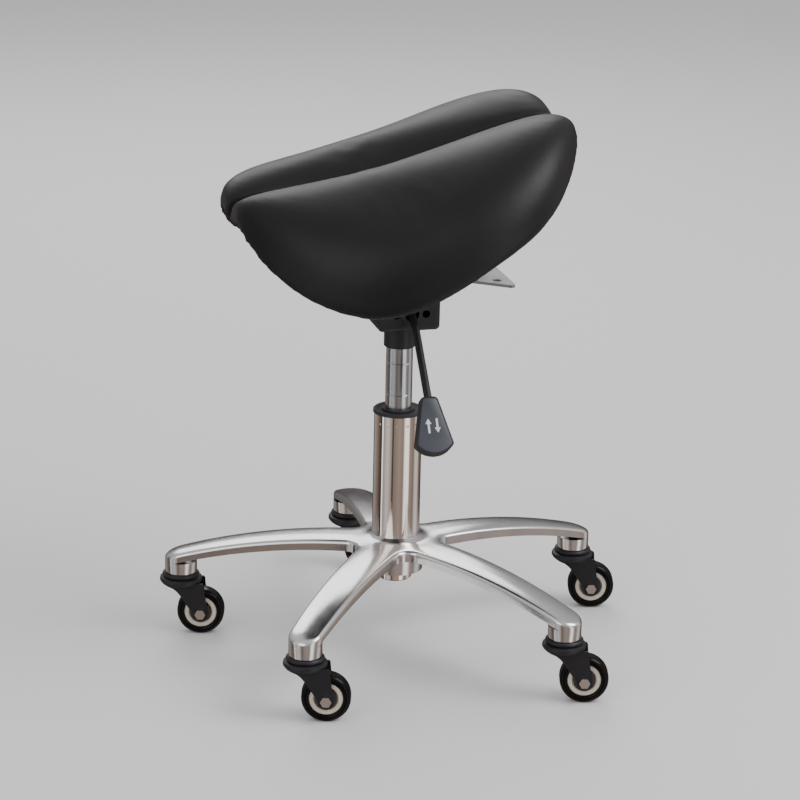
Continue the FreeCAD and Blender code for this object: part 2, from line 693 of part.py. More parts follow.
def make_mechanism():
    """Taper socket, pressed housing and seat plate."""
    low = socket_foot
    high = socket_top
    turned("taper_socket", [
        (taper_radius(low) + s.fit_gap, low), (s.socket_radius - 1, low), (s.socket_radius, low + 1),
        (s.socket_radius, high), (taper_radius(high) + s.fit_gap, high)])
    housing()
    seat_plate()


def housing():
    """Pressed steel pan with a sloping front wall, open to the plate above."""
    body = new_body("mechanism_housing")
    wall = s.pan_wall
    side = sketch_on(body, "YZ_Plane")
    outline(side, [(-s.pan_front, pan_foot), (s.pan_back, pan_foot), (s.pan_back, s.plate_foot),
                   (-s.pan_nose, s.plate_foot)])
    block = pad(body, side, 2 * s.pan_half, both_sides=True)
    doc.recompute()

    def outer_corner(edge):
        middle = edge.CenterOfMass
        across = abs(abs(middle.x) - s.pan_half.value) < 0.01
        below_top = middle.z < s.plate_foot.value - 1
        return (across and below_top) or abs(middle.z - pan_foot.value) < 0.01
    soften(body, block, edges_where(block.Shape, outer_corner), s.pan_round)
    slope = (s.pan_nose - s.pan_front) / (s.plate_foot - pan_foot)
    front = s.pan_front + slope * wall - wall * 1.18
    inside = sketch_on(body, "YZ_Plane")
    outline(inside, [(-front, pan_foot + wall), (s.pan_back - wall, pan_foot + wall),
                     (s.pan_back - wall, s.plate_foot + 5),
                     (-(s.pan_nose + slope * 5 - wall * 1.18), s.plate_foot + 5)])
    pocket(body, inside, 2 * (s.pan_half - wall), both_sides=True)
    hole = ring(sketch_on(body, "XY_Plane", pan_foot - 1), 0, 0, s.socket_radius + s.fit_gap)
    pocket(body, hole, wall + 5, reverse=True)
    walls = sketch_on(body, "YZ_Plane")
    ring(walls, s.lever_y, lever_exit, s.grommet_radius - s.grommet_lip)
    rear = s.lever_y + s.pan_hole_rear
    low = lever_exit - s.pan_hole_drop
    high = lever_exit + s.pan_hole_rise
    for across, up in ((s.lever_y - s.pan_hole_front, low), (rear, low), (rear, high),
                       (s.lever_y - s.pan_hole_nose, high)):
        ring(walls, across, up, s.pan_hole_radius)
    pocket(body, walls, 2 * s.pan_half + 4, both_sides=True)
    finished(body, "mechanism_housing")


def seat_plate():
    """Waisted steel plate with four ears."""
    body = new_body("seat_plate")
    wide = s.plate_half_width
    long = s.plate_half_length
    waist = s.plate_waist
    low = s.plate_waist_half
    sheet = sketch_on(body, "XY_Plane", s.plate_foot)
    outline(sheet, [(wide, long), (-wide, long), (-waist, low), (-waist, -low), (-wide, -long),
                    (wide, -long), (waist, -low), (waist, low)])
    plate = pad(body, sheet, s.plate_sheet)
    doc.recompute()

    def ear_corner(edge):
        middle = edge.CenterOfMass
        return edge.BoundBox.ZLength > 1 and abs(abs(middle.x) - wide.value) < 0.01
    soften(body, plate, edges_where(plate.Shape, ear_corner), s.plate_round)
    holes = sketch_on(body, "XY_Plane", s.plate_foot)
    for x in (1, -1):
        for y in (1, -1):
            ring(holes, s.ear_hole_x * x, s.ear_hole_y * y, s.ear_hole_radius)
            ring(holes, s.boss_x * x, s.boss_y * y, s.bolt_radius + 0.4)
    pocket(body, holes, s.plate_sheet, reverse=True)
    finished(body, "seat_plate")


# Lever

def bent_path(points, radius):
    """Straight runs joined by tangent arcs."""
    edges = []
    start = points[0]
    for before, corner, after in zip(points, points[1:], points[2:]):
        back = (before - corner).normalize()
        ahead = (after - corner).normalize()
        half = back.getAngle(ahead) / 2
        reach = radius / math.tan(half)
        first = corner + back * reach
        last = corner + ahead * reach
        middle_way = (back + ahead).normalize()
        middle = corner + middle_way * (radius / math.sin(half) - radius)
        edges.append(Part.makeLine(start, first))
        edges.append(Part.Arc(first, middle, last).toShape())
        start = last
    edges.append(Part.makeLine(start, points[-1]))
    return Part.Wire(edges)


def lever_points():
    """Corners of the lever rod's centre line."""
    y = s.lever_y.value
    top = pin_top.value + s.face_gap.value + s.lever_radius.value
    angle = math.radians(s.paddle_angle.value)
    hand = Vector(s.lever_hand_x.value, y, lever_hand.value)
    down = Vector(math.cos(angle), 0, -math.sin(angle))
    return [Vector(s.lever_inner_x.value + 2, y, top), Vector(s.lever_knee_x.value, y, top),
            Vector(s.lever_elbow_x.value, y, lever_elbow.value), hand,
            hand + down * (s.paddle_socket.value)], down


def make_lever():
    """Bent rod with a flat tongue over the valve, the grommet it rocks in, and the paddle."""
    points, down = lever_points()
    path = bent_path(points, s.lever_bend.value)
    section = Part.Wire(Part.makeCircle(s.lever_radius.value, points[0], Vector(1, 0, 0)))
    rod = path.makePipeShell([section], True, False)
    foot = pin_top.value + s.face_gap.value
    tongue = Part.makeBox(s.lever_knee_x.value - s.lever_inner_x.value, 2 * s.tongue_half.value,
                          s.tongue_height.value,
                          Vector(s.lever_inner_x.value, s.lever_y.value - s.tongue_half.value, foot))
    upright = [e for e in tongue.Edges if abs(e.CenterOfMass.z - foot - s.tongue_height.value / 2) < 0.01]
    tongue = tongue.makeFillet(s.tongue_height.value - 1, upright)
    lever = doc.addObject("Part::Feature", "lever_rod")
    lever.Shape = rod.fuse(tongue).removeSplitter()
    finished(lever, "lever_rod", Placement())
    grommet()
    paddle(points[3], down)


def grommet():
    """Plastic grommet that lines the hole in the housing's wall."""
    hole = s.grommet_radius - s.grommet_lip
    inner = s.lever_radius + s.grommet_play
    out = s.pan_half
    spot = Placement(Vector(0, s.lever_y.value, lever_exit.value), Rotation(Vector(0, 1, 0), 90))
    turned("lever_grommet", [
        (inner, out - s.pan_wall), (hole - s.fit_gap, out - s.pan_wall), (hole - s.fit_gap, out),
        (s.grommet_radius, out), (s.grommet_radius, out + s.grommet_lip - 0.5),
        (s.grommet_radius - 0.5, out + s.grommet_lip), (inner, out + s.grommet_lip)], spot=spot)


def paddle(hand, down):
    """Flat, flared hand paddle on the end of the rod."""
    body = new_body("lever_paddle")
    blade = sketch_on(body, "XY_Plane", -s.paddle_sheet / 2)
    outline(blade, [(0, -s.paddle_top_half), (s.paddle_length, -s.paddle_tip_half),
                    (s.paddle_length, s.paddle_tip_half), (0, s.paddle_top_half)],
            {1: (s.paddle_end_bow, 1)})
    blank = pad(body, blade, s.paddle_sheet)
    doc.recompute()
    corners = edges_where(blank.Shape, lambda e: len(e.Vertexes) == 2 and e.BoundBox.ZLength > 1
                          and e.BoundBox.XLength < 0.01)
    rounded = soften(body, blank, corners, s.paddle_top_half - 3)
    doc.recompute()
    rims = edges_where(rounded.Shape, lambda e: e.BoundBox.ZLength < 0.01)
    soften(body, rounded, rims, s.paddle_sheet / 6)
    socket = ring(sketch_on(body, "YZ_Plane"), 0, 0, s.lever_radius + s.slide_gap)
    pocket(body, socket, s.paddle_socket + 1, reverse=True)
    turn = Rotation(down, Vector(0, 1, 0), down.cross(Vector(0, 1, 0)), "XYZ")
    finished(body, "lever_paddle", Placement(hand, turn))


# Casters

def make_caster(number):
    """One swivel caster: stem and cup, fork, axle, and a wheel with its core and bearings."""
    arm = math.radians(turn_about_axis(number))
    foot = Vector(s.arm_reach.value * math.cos(arm), s.arm_reach.value * math.sin(arm), 0)
    spot = Placement(foot, Rotation(UP, s.caster_turn.value))
    name = "_%d" % (number + 1)
    crown_top = s.fork_crown_top
    cup_foot = s.pod_foot - s.cup_height
    pin_foot = s.fork_crown_foot - s.slide_gap
    turned("caster_stem" + name, [
        (0, pin_foot - s.rivet_height), (s.rivet_radius - 1.5, pin_foot - s.rivet_height),
        (s.rivet_radius, pin_foot - 1), (s.rivet_radius, pin_foot), (s.kingpin_radius, pin_foot),
        (s.kingpin_radius, cup_foot), (s.cup_radius - 1, cup_foot), (s.cup_radius, cup_foot + 1),
        (s.cup_radius, s.pod_foot - 1.5), (s.cup_radius - 1.5, s.pod_foot), (s.stem_radius, s.pod_foot),
        (s.stem_radius, s.pod_foot + s.stem_length - 1), (s.stem_radius - 1, s.pod_foot + s.stem_length),
        (0, s.pod_foot + s.stem_length)], spot=spot)
    fork("caster_fork" + name, crown_top, spot)
    axle = spot.multiply(Placement(Vector(s.trail.value, 0, s.wheel_radius.value),
                                   Rotation(Vector(1, 0, 0), 90)))
    wheel(name, axle)
    axle_bolt(name, axle)


def fork(label, crown_top, spot):
    """Pressed fork: a round crown with two trailing legs."""
    body = new_body(label)
    foot = s.fork_crown_foot
    crown = s.fork_crown_radius
    leg = sketch_on(body, "XZ_Plane")
    eye = s.fork_eye
    outline(leg, [(-crown + 5, foot + 1), (-3, foot - 5.5), (s.trail - eye, s.wheel_radius - 1),
                  (s.trail + eye, s.wheel_radius - 1), (crown + 2.5, foot - 2), (crown - 4, foot + 1)],
            {0: (s.fork_front_bow, -1), 1: (s.fork_leg_bow, -1), 2: (eye + 0.2, 1)})
    pad(body, leg, 2 * (s.fork_inner + s.fork_sheet), both_sides=True)
    room = sketch_on(body, "YZ_Plane")
    outline(room, [(-s.fork_inner, -5), (s.fork_inner, -5), (s.fork_inner, foot + 5),
                   (-s.fork_inner, foot + 5)])
    pocket(body, room, 6 * crown, both_sides=True)
    dish = sketch_on(body, "XZ_Plane")
    outline(dish, [(0, foot), (crown - 3, foot), (crown, foot + 3), (crown, crown_top - 2.5),
                   (crown - 2, crown_top - 0.5), (s.cup_radius - 2, crown_top), (0, crown_top)])
    revolve(body, dish)
    eye_hole = ring(sketch_on(body, "XZ_Plane"), s.trail, s.wheel_radius, s.axle_radius + s.slide_gap)
    pocket(body, eye_hole, 4 * crown, both_sides=True)
    pin_hole = ring(sketch_on(body, "XY_Plane", foot - 1), 0, 0, s.kingpin_radius + s.slide_gap)
    pocket(body, pin_hole, crown_top - foot + 5, reverse=True)
    finished(body, label, spot)


def wheel(name, axle):
    """Tread, core and two ball bearings about the axle."""
    half = s.wheel_width / 2
    rounding = s.tread_round
    outer = s.wheel_radius
    turned("wheel_tread" + name, [
        (s.core_radius, -half), (outer - rounding, -half), (outer, rounding - half),
        (outer, half - rounding), (outer - rounding, half), (s.core_radius, half)],
        {1: (rounding, 1), 3: (rounding, 1)}, axle)
    core = s.core_width / 2
    bore = s.bearing_radius
    land = (s.fork_inner - s.face_gap) - s.bearing_width
    turned("wheel_core" + name, [
        (bore - 2, -land), (bore, -land), (bore, -core + 1), (bore + 1.5, -core),
        (s.core_radius, -core), (s.core_radius, core), (bore + 1.5, core), (bore, core - 1),
        (bore, land), (bore - 2, land)], None, axle)
    outside = s.fork_inner - s.face_gap
    shaft = s.axle_radius + s.slide_gap
    rings = []
    for foot, top in ((land, outside), (-outside, -land)):
        rings.append(sleeve("bearing" + name, shaft, bore - s.fit_gap, foot, top, keep=False))
    group("wheel_bearings" + name, rings, axle)


def axle_bolt(name, axle):
    """Hexagon bolt through the fork, with its nut on the far leg."""
    leg = s.fork_inner + s.fork_sheet
    shank_foot = -leg - s.nut_height - 1.5
    head = prism(s.axle_hex, s.axle_head, leg, "axle_head" + name)
    shank = cylinder(s.axle_radius, leg - shank_foot, shank_foot, "axle_shank" + name)
    bolt = joined("axle_screw" + name, head, shank)
    nut_block = prism(s.axle_hex, s.nut_height, -leg - s.nut_height, "axle_nut_block" + name)
    nut_hole = cylinder(s.axle_radius + s.slide_gap, s.nut_height + 2, -leg - s.nut_height - 1,
                        "axle_nut_hole" + name)
    nut = cut("axle_nut" + name, nut_block, nut_hole)
    group("axle_bolt" + name, [bolt, nut], axle)


# Seat halves

class Bow:
    """Arc that leaves a level crest and falls to a point beside it."""

    def __init__(self, at, crest_x, crest_z, finish_x, finish_z):
        across = finish_x - crest_x
        drop = crest_z - finish_z
        self.at = at
        self.radius = (across * across + drop * drop) / (2 * drop)
        self.centre_x = crest_x
        self.centre_z = crest_z - self.radius
        self.angle = math.copysign(math.atan2(abs(across), self.radius - drop), across)

    def point(self, share, inset=0.0):
        """Place at a share of the arc's angle, set in towards its centre."""
        angle = self.angle * share
        reach = self.radius - inset
        return Vector(self.centre_x + reach * math.sin(angle), self.at,
                      self.centre_z + reach * math.cos(angle))

    def edge(self, first, last, inset=0.0):
        """Piece of the arc between two shares of its angle."""
        middle = self.point((first + last) / 2, inset)
        return Part.Arc(self.point(first, inset), middle, self.point(last, inset)).toShape()


class Station:
    """Section of one seat half: its crown, flap edge and underside at one place along the seat."""

    def __init__(self, name):
        values = [s.named(name, part).value for part in STATION_PARTS]
        at, crest_x, crest_rise, flap_x, flap_rise, depth = values
        crest_z = s.plate_foot.value + crest_rise
        flap_z = s.plate_foot.value + flap_rise
        groove = s.groove_half.value
        drop = s.groove_drop.value * depth
        full = s.pad_depth.value * depth
        self.at = at
        self.lip = s.flap_sheet.value * depth
        self.flap = Bow(at, crest_x, crest_z, flap_x, flap_z)
        self.groove = Bow(at, crest_x, crest_z, groove, crest_z - drop)
        self.flap_under = Bow(at, crest_x, crest_z - full, flap_x - self.lip, flap_z)
        self.groove_under = Bow(at, crest_x, crest_z - full, groove, crest_z - full - drop)

    def foam(self):
        """Closed outline of the covered foam."""
        outer = self.flap.point(1)
        inner = self.flap_under.point(1)
        edges = [self.groove.edge(1, 0), self.flap.edge(0, 1),
                 Part.Arc(outer, (outer + inner) / 2 - UP * (0.35 * self.lip), inner).toShape(),
                 self.flap_under.edge(1, 0), self.groove_under.edge(0, 1),
                 Part.makeLine(self.groove_under.point(1), self.groove.point(1))]
        return Part.Wire(edges)

    def shell(self):
        """Closed outline of the moulded shell that lines the underside."""
        top = s.shell_gap.value
        low = top + s.shell_sheet.value
        reach = s.shell_reach.value
        edges = [self.groove_under.edge(1, 0, top), self.flap_under.edge(0, reach, top),
                 Part.makeLine(self.flap_under.point(reach, top), self.flap_under.point(reach, low)),
                 self.flap_under.edge(reach, 0, low), self.groove_under.edge(0, 1, low),
                 Part.makeLine(self.groove_under.point(1, low), self.groove_under.point(1, top))]
        return Part.Wire(edges)


def make_seat():
    """Two mirrored seat halves: leather-covered foam on a moulded shell with bosses."""
    stations = [Station(station[0]) for station in STATIONS]
    foam = Part.makeLoft([station.foam() for station in stations], True, False)
    shell = Part.makeLoft([station.shell() for station in stations[2:-2]], True, False)
    plate_top = s.plate_foot.value + s.plate_sheet.value
    inserts = []
    bolts = []
    tops = []
    for y in (s.boss_y.value, -s.boss_y.value):
        foot = Vector(s.boss_x.value, y, plate_top)
        highest = UP * (s.back_crest_rise.value)
        probe = Part.makeLine(foot, foot + highest).common(shell)
        under = min(v.Z for v in probe.Vertexes)
        boss = Part.makeCylinder(s.boss_radius.value, under - plate_top + s.shell_sheet.value / 2, foot)
        bore = Part.makeCylinder(s.insert_radius.value + s.slide_gap.value, s.insert_height.value + 3, foot)
        shell = shell.fuse(boss).cut(bore)
        sleeve_outer = Part.makeCylinder(s.insert_radius.value, s.insert_height.value, foot)
        thread = Part.makeCylinder(s.bolt_radius.value + s.slide_gap.value, s.insert_height.value, foot)
        inserts.append(sleeve_outer.cut(thread))
        head_foot = foot - UP * (s.plate_sheet.value + s.bolt_head_height.value)
        head = Part.makeCylinder(s.bolt_head.value, s.bolt_head_height.value, head_foot)
        shank = Part.makeCylinder(s.bolt_radius.value, s.bolt_length.value, foot - UP * s.plate_sheet.value)
        bolts.append(head.fuse(shank))
        tops.append(Vector(foot.x, y, under + s.shell_sheet.value / 2))
    shell = shell.fuse(web_between(tops, plate_top))
    for side, sign in SIDES.items():
        add_shape("cushion_" + side, foam, sign)
        add_shape("seat_shell_" + side, shell, sign)
    for label, solids in (("threaded_inserts", inserts), ("seat_bolts", bolts)):
        add_shape(label, Part.makeCompound(solids + [mirrored(shape) for shape in solids]), 1)


def web_between(tops, plate_top):
    """Upright web that joins the two bosses of a shell, clear of the bolts' bores."""
    across = Vector(s.boss_web.value / 2, 0, 0)
    reach = Vector(0, s.boss_radius.value - 1, 0)
    rear, front = tops
    foot = plate_top + s.insert_height.value + 6
    low_rear = Vector(rear.x, rear.y, foot) - reach
    low_front = Vector(front.x, front.y, foot) + reach
    corners = [low_rear, low_front, front + reach, rear - reach]
    face = Part.Face(Part.makePolygon([corner - across for corner in corners + corners[:1]]))
    return face.extrude(across * 2)


def mirrored(shape):
    return shape.mirror(Vector(0, 0, 0), Vector(1, 0, 0))


def add_shape(label, shape, sign):
    feature = doc.addObject("Part::Feature", label)
    feature.Shape = shape if sign > 0 else mirrored(shape)
    finished(feature, label, Placement())


def write_parts():
    """Check every object and write each node's STEP file."""
    doc.recompute()
    for item in doc.Objects:
        if "Invalid" in item.State or "Error" in item.State:
            raise RuntimeError("failed object: " + item.Name)
    os.makedirs(FOLDER, exist_ok=True)
    for node in nodes:
        if node.Shape.isNull() or not node.Shape.isValid():
            raise RuntimeError("bad shape: " + node.Label)
        node.Shape.exportStep(os.path.join(FOLDER, node.Label + ".step"))
    print("nodes", len(nodes))


make_star_base()
disc_foot, rod_shoulder = make_column()
make_piston(disc_foot, rod_shoulder)
make_lift()
make_mechanism()
make_lever()
for caster_number in range(CASTERS):
    make_caster(caster_number)
make_seat()
write_parts()
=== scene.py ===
"""Looks of the saddle stool: leather seat halves, polished star, chromed column and casters.

Metres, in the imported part's frame: +Z up, origin on the floor under the column, the seat's
narrow front towards -Y and the height lever at +X.
"""

import json
import logging
import math
from contextlib import contextmanager
from dataclasses import dataclass, field
from enum import Enum
from typing import Iterator, Optional, Sequence

import bmesh
import bpy
from mathutils import Matrix, Vector
from mathutils.kdtree import KDTree


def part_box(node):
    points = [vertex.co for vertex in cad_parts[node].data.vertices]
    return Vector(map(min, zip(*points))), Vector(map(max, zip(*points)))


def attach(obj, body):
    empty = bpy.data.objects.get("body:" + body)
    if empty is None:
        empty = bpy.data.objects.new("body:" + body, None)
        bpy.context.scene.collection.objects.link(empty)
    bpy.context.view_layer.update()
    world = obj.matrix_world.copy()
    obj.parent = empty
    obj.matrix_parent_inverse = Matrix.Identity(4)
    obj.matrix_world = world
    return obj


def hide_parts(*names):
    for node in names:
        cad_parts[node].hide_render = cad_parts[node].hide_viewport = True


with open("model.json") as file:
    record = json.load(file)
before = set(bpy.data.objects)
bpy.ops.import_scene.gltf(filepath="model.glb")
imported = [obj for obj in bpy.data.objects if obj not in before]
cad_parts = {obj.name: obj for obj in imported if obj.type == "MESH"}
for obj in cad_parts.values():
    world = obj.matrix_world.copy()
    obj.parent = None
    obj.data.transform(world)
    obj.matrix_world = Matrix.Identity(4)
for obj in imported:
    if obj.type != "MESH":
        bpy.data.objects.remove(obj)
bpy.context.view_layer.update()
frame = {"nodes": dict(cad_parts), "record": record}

LOG = logging.getLogger("saddle_stool")
UP = Vector((0, 0, 1))
CASTERS = 5
WELD = 0.00002
Mesh = bpy.types.Mesh
Object = bpy.types.Object
Socket = bpy.types.NodeSocket
Profile = Sequence[tuple[float, float]]
Colour = tuple[float, float, float]
Stops = Sequence[tuple[float, Colour]]


class Body(str, Enum):
    """Bodies that pieces ride on, besides the casters and wheels."""

    BASE = "base"
    SEAT = "seat"
    LEVER = "lever"


class Side(Enum):
    """Seat halves: the sitter's left at +X, the right at -X."""

    LEFT = 1
    RIGHT = -1

    @property
    def word(self) -> str:
        """Name of the side as the nodes spell it."""
        return self.name.lower()


# Shader nodes

class Nodes:
    """Adds nodes to a tree and sets their inputs by name."""

    def __init__(self, tree: bpy.types.NodeTree, prefix: str = "ShaderNode") -> None:
        """Work on one tree.

        Args:
            tree: the node tree of a material, the world or a pattern.
            prefix: what every node type given to add begins with.
        """
        self.tree = tree
        self.prefix = prefix

    def add(self, kind: str, **inputs: object) -> bpy.types.Node:
        """Add a node and set its inputs by name, with underscores for spaces.

        Args:
            kind: the node's type without the prefix.
            inputs: a value, or a socket to link, for each input.

        Returns:
            The new node.
        """
        node = self.tree.nodes.new(self.prefix + kind)
        for name, value in inputs.items():
            self.feed(node, name.replace("_", " "), value)
        return node

    def feed(self, node: bpy.types.Node, name: str, value: object) -> None:
        """Give one input of a node a value or a link."""
        if isinstance(value, Socket):
            self.tree.links.new(value, node.inputs[name])
        else:
            node.inputs[name].default_value = value

    def ramp(self, value: Socket, stops: Stops) -> Socket:
        """Colours between stops along a value."""
        node = self.add("ValToRGB", Fac=value)
        bar = node.color_ramp.elements
        for index, (where, colour) in enumerate(stops):
            stop = bar[index] if index < 2 else bar.new(where)
            stop.position = where
            stop.color = (*colour, 1.0)
        return node.outputs["Color"]


class Shader(Nodes):
    """Builds one procedural material node by node."""

    def __init__(self, name: str) -> None:
        """Start a material with its Principled surface.

        Args:
            name: the material's name.
        """
        self.material = bpy.data.materials.new(name)
        self.material.use_nodes = True
        super().__init__(self.material.node_tree)
        self.surface = self.tree.nodes["Principled BSDF"]
        self.place = self.add("TexCoord").outputs["Object"]

    def surface_is(self, **inputs: object) -> None:
        """Set inputs of the Principled surface."""
        for name, value in inputs.items():
            self.feed(self.surface, name.replace("_", " "), value)

    def scaled(self, scale: tuple[float, float, float]) -> Socket:
        """Object coordinates stretched along each axis."""
        return self.add("Mapping", Vector=self.place, Scale=scale).outputs["Vector"]

    def noise(self, scale: float, detail: float = 3.0, roughness: float = 0.5,
              place: Optional[Socket] = None) -> Socket:
        """Cloudy value between 0 and 1."""
        node = self.add("TexNoise", Vector=place or self.place, Scale=scale, Detail=detail,
                        Roughness=roughness)
        return node.outputs["Fac"]

    def between(self, value: Socket, low: float, high: float) -> Socket:
        """The value moved from 0..1 into low..high."""
        return self.add("MapRange", Value=value, To_Min=low, To_Max=high).outputs["Result"]

    def bump(self, height: Socket, strength: float, distance: float,
             under: Optional[Socket] = None) -> Socket:
        """Bumped normal from a height, over an earlier normal if one is given."""
        node = self.add("Bump", Height=height, Strength=strength, Distance=distance)
        if under is not None:
            self.tree.links.new(under, node.inputs["Normal"])
        return node.outputs["Normal"]


@dataclass(frozen=True)
class Finish:
    """A finish of the stool and the record's slot that it belongs to."""

    name: str
    slot: str

    def paint(self, shader: Shader) -> None:
        """Fill in the material; each finish has its own."""
        raise NotImplementedError

    def material(self) -> bpy.types.Material:
        """The finish's material, made once."""
        made = bpy.data.materials.get(self.name)
        if made is None:
            shader = Shader(self.name)
            self.paint(shader)
            made = shader.material
        return made


@dataclass(frozen=True)
class Leather(Finish):
    """Black matte leather cloth with a fine pebble grain."""

    grain: float = 1050.0
    deep: Colour = (0.0034, 0.0035, 0.0046)
    worn: Colour = (0.0064, 0.0065, 0.0078)
    rough: tuple[float, float] = (0.40, 0.50)
    shine: float = 0.34
    grain_depth: float = 0.00022
    crease_scale: float = 420.0
    crease_depth: float = 0.00020
    patch_scale: float = 14.0
    sheen_scale: float = 38.0

    def paint(self, shader: Shader) -> None:
        """Grain cells over soft creases, with slow changes of sheen."""
        cells = shader.add("TexVoronoi", Vector=shader.place, Scale=self.grain)
        cells.feature = "SMOOTH_F1"
        creases = shader.noise(self.crease_scale, 4.0, 0.6)
        patches = shader.noise(self.patch_scale, 3.0)
        tone = shader.ramp(patches, [(0.3, self.deep), (0.75, self.worn)])
        rough = shader.between(shader.noise(self.sheen_scale, 4.0), *self.rough)
        fine = shader.bump(cells.outputs["Distance"], 0.32, self.grain_depth)
        shader.surface_is(Base_Color=tone, Roughness=rough, Specular_IOR_Level=self.shine,
                          Sheen_Weight=0.04, Sheen_Roughness=0.45,
                          Normal=shader.bump(creases, 0.18, self.crease_depth, fine))


@dataclass(frozen=True)
class Polish(Finish):
    """Bare metal, cast, plated or turned, with its own marks."""

    colour: Colour = (0.80, 0.80, 0.81)
    smooth: float = 0.10
    dull: float = 0.22
    marks: tuple[float, float, float] = (1.0, 1.0, 1.0)
    mark_scale: float = 60.0
    mark_depth: float = 0.00003
    broad_scale: float = 9.0
    dim: float = 0.86

    def paint(self, shader: Shader) -> None:
        """Metal whose polish varies in patches, over fine marks."""
        patches = shader.noise(self.mark_scale, 4.0, 0.6, shader.scaled(self.marks))
        broad = shader.noise(self.broad_scale, 2.0)
        tone = tuple(self.dim * part for part in self.colour)
        colour = shader.ramp(broad, [(0.35, tone), (0.65, self.colour)])
        shader.surface_is(Base_Color=colour, Metallic=1.0,
                          Roughness=shader.between(patches, self.smooth, self.dull),
                          Normal=shader.bump(patches, 0.25, self.mark_depth))


@dataclass(frozen=True)
class Moulded(Finish):
    """Paint, plastic or rubber with a slight texture."""

    colour: Colour = (0.012, 0.012, 0.013)
    rough: tuple[float, float] = (0.28, 0.36)
    texture: float = 900.0
    depth: float = 0.00004
    coat: float = 0.0
    shine: float = 0.5
    dust_scale: float = 55.0

    def paint(self, shader: Shader) -> None:
        """Even colour with a little dust and a fine surface."""
        dust = shader.noise(self.dust_scale, 4.0)
        light = tuple(part * 1.25 + 0.001 for part in self.colour)
        tone = shader.ramp(dust, [(0.35, self.colour), (0.8, light)])
        fine = shader.noise(self.texture, 2.0)
        shader.surface_is(Base_Color=tone, Roughness=shader.between(dust, *self.rough),
                          Coat_Weight=self.coat, Coat_Roughness=0.12, Specular_IOR_Level=self.shine,
                          Normal=shader.bump(fine, 0.3, self.depth))


LEATHER = Leather("seat_leather", "black_leather")
CASTING = Polish("polished_casting", "cast_aluminium", (0.80, 0.79, 0.79), 0.14, 0.27)
# Partly painted reflection: the warm brown tint of this chrome colour stands in for brown surroundings
# mirrored in the tube, on top of the plating's own pale colour.
CHROME = Polish("chromed_tube", "chrome", (0.90, 0.83, 0.775), 0.02, 0.06, mark_depth=0.000005)
TURNED = Polish("turned_tube", "brushed_steel", (0.55, 0.58, 0.61), 0.20, 0.28, (1.0, 1.0, 0.1), 90.0,
                0.000004)
PLATED = Polish("zinc_plate", "steel", (0.30, 0.30, 0.31), 0.28, 0.42)
HEX_ZINC = Polish("zinc_hexagon", "zinc_steel", (0.80, 0.79, 0.76), 0.12, 0.24)
BEARING = Polish("bearing_shield", "bearing_steel", (0.13, 0.13, 0.14), 0.20, 0.34)
BRASS = Polish("brass_insert", "brass", (0.72, 0.55, 0.27), 0.25, 0.40)
PAINT = Moulded("black_paint", "black_paint", (0.0016, 0.0016, 0.0018), (0.14, 0.22), 700.0, 0.00002,
                0.12, 0.09)
PLASTIC = Moulded("black_plastic", "black_plastic", (0.0035, 0.0035, 0.004), (0.26, 0.36), shine=0.15)
TREAD = Moulded("urethane_tread", "tread", (0.0016, 0.0016, 0.0018), (0.18, 0.26), 500.0, 0.00002,
                0.14, 0.12)
FACE = Moulded("paddle_film", "black_plastic", (0.050, 0.056, 0.070), (0.30, 0.38), 800.0, 0.00002)
PRINT = Moulded("white_print", "black_plastic", (0.74, 0.74, 0.74), (0.45, 0.55), 800.0, 0.00001)
CREAM = Moulded("cream_core", "cream_nylon", (0.62, 0.57, 0.47), (0.30, 0.40), 600.0, 0.00003)
RUBBER = Moulded("buffer_rubber", "rubber", (0.014, 0.014, 0.014), (0.60, 0.72))
SLOT_FINISHES = [LEATHER, CASTING, CHROME, TURNED, PLATED, HEX_ZINC, BEARING, BRASS, PAINT, PLASTIC, TREAD,
                 CREAM, RUBBER]


# Meshes

def new_piece(name: str, mesh: Mesh) -> Object:
    """An object at the origin that shows a mesh."""
    piece = bpy.data.objects.new(name, mesh)
    bpy.context.scene.collection.objects.link(piece)
    return piece


@contextmanager
def editing(mesh: Mesh) -> Iterator[bmesh.types.BMesh]:
    """A mesh open for changes, which are written back at the end."""
    shape = bmesh.new()
    shape.from_mesh(mesh)
    yield shape
    shape.to_mesh(mesh)
    shape.free()


def smooth_by_angle(mesh: Mesh, degrees: float) -> None:
    """Smooth shading with sharp edges where faces turn by more than an angle."""
    limit = math.radians(degrees)
    with editing(mesh) as shape:
        for face in shape.faces:
            face.smooth = True
        for edge in shape.edges:
            edge.smooth = len(edge.link_faces) == 2 and edge.calc_face_angle(0.0) < limit


def dress(piece: Object, finish: Finish) -> None:
    """Give a piece or a shown CAD node one finish."""
    if not piece.material_slots:
        piece.data.materials.append(finish.material())
    for place in piece.material_slots:
        place.material = finish.material()


def fit(piece: Object, body: str, finish: Finish, nodes: Sequence[str]) -> None:
    """Dress a finished piece, ride it on its body and let it stand for CAD nodes."""
    dress(piece, finish)
    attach(piece, body)
    if nodes:
        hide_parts(*nodes)
    LOG.info("%s: %d faces, rides on %s", piece.name, len(piece.data.polygons), body)


def show(name: str, mesh: Mesh, degrees: float, body: str, finish: Finish,
         nodes: Sequence[str]) -> None:
    """Smooth a mesh below an angle and fit it as a piece in place of CAD nodes."""
    smooth_by_angle(mesh, degrees)
    fit(new_piece(name, mesh), body, finish, nodes)


def mesh_of(name: str, points: Sequence[Vector], faces: Sequence[Sequence[int]]) -> Mesh:
    """A closed mesh whose faces point outwards.

    Args:
        name: the mesh's name.
        points: places of its corners.
        faces: corner numbers of each face.

    Returns:
        The mesh, with doubled corners merged.
    """
    mesh = bpy.data.meshes.new(name)
    mesh.from_pydata([tuple(point) for point in points], [], [tuple(face) for face in faces])
    with editing(mesh) as shape:
        bmesh.ops.remove_doubles(shape, verts=shape.verts, dist=0.000001)
        bmesh.ops.recalc_face_normals(shape, faces=shape.faces)
    return mesh


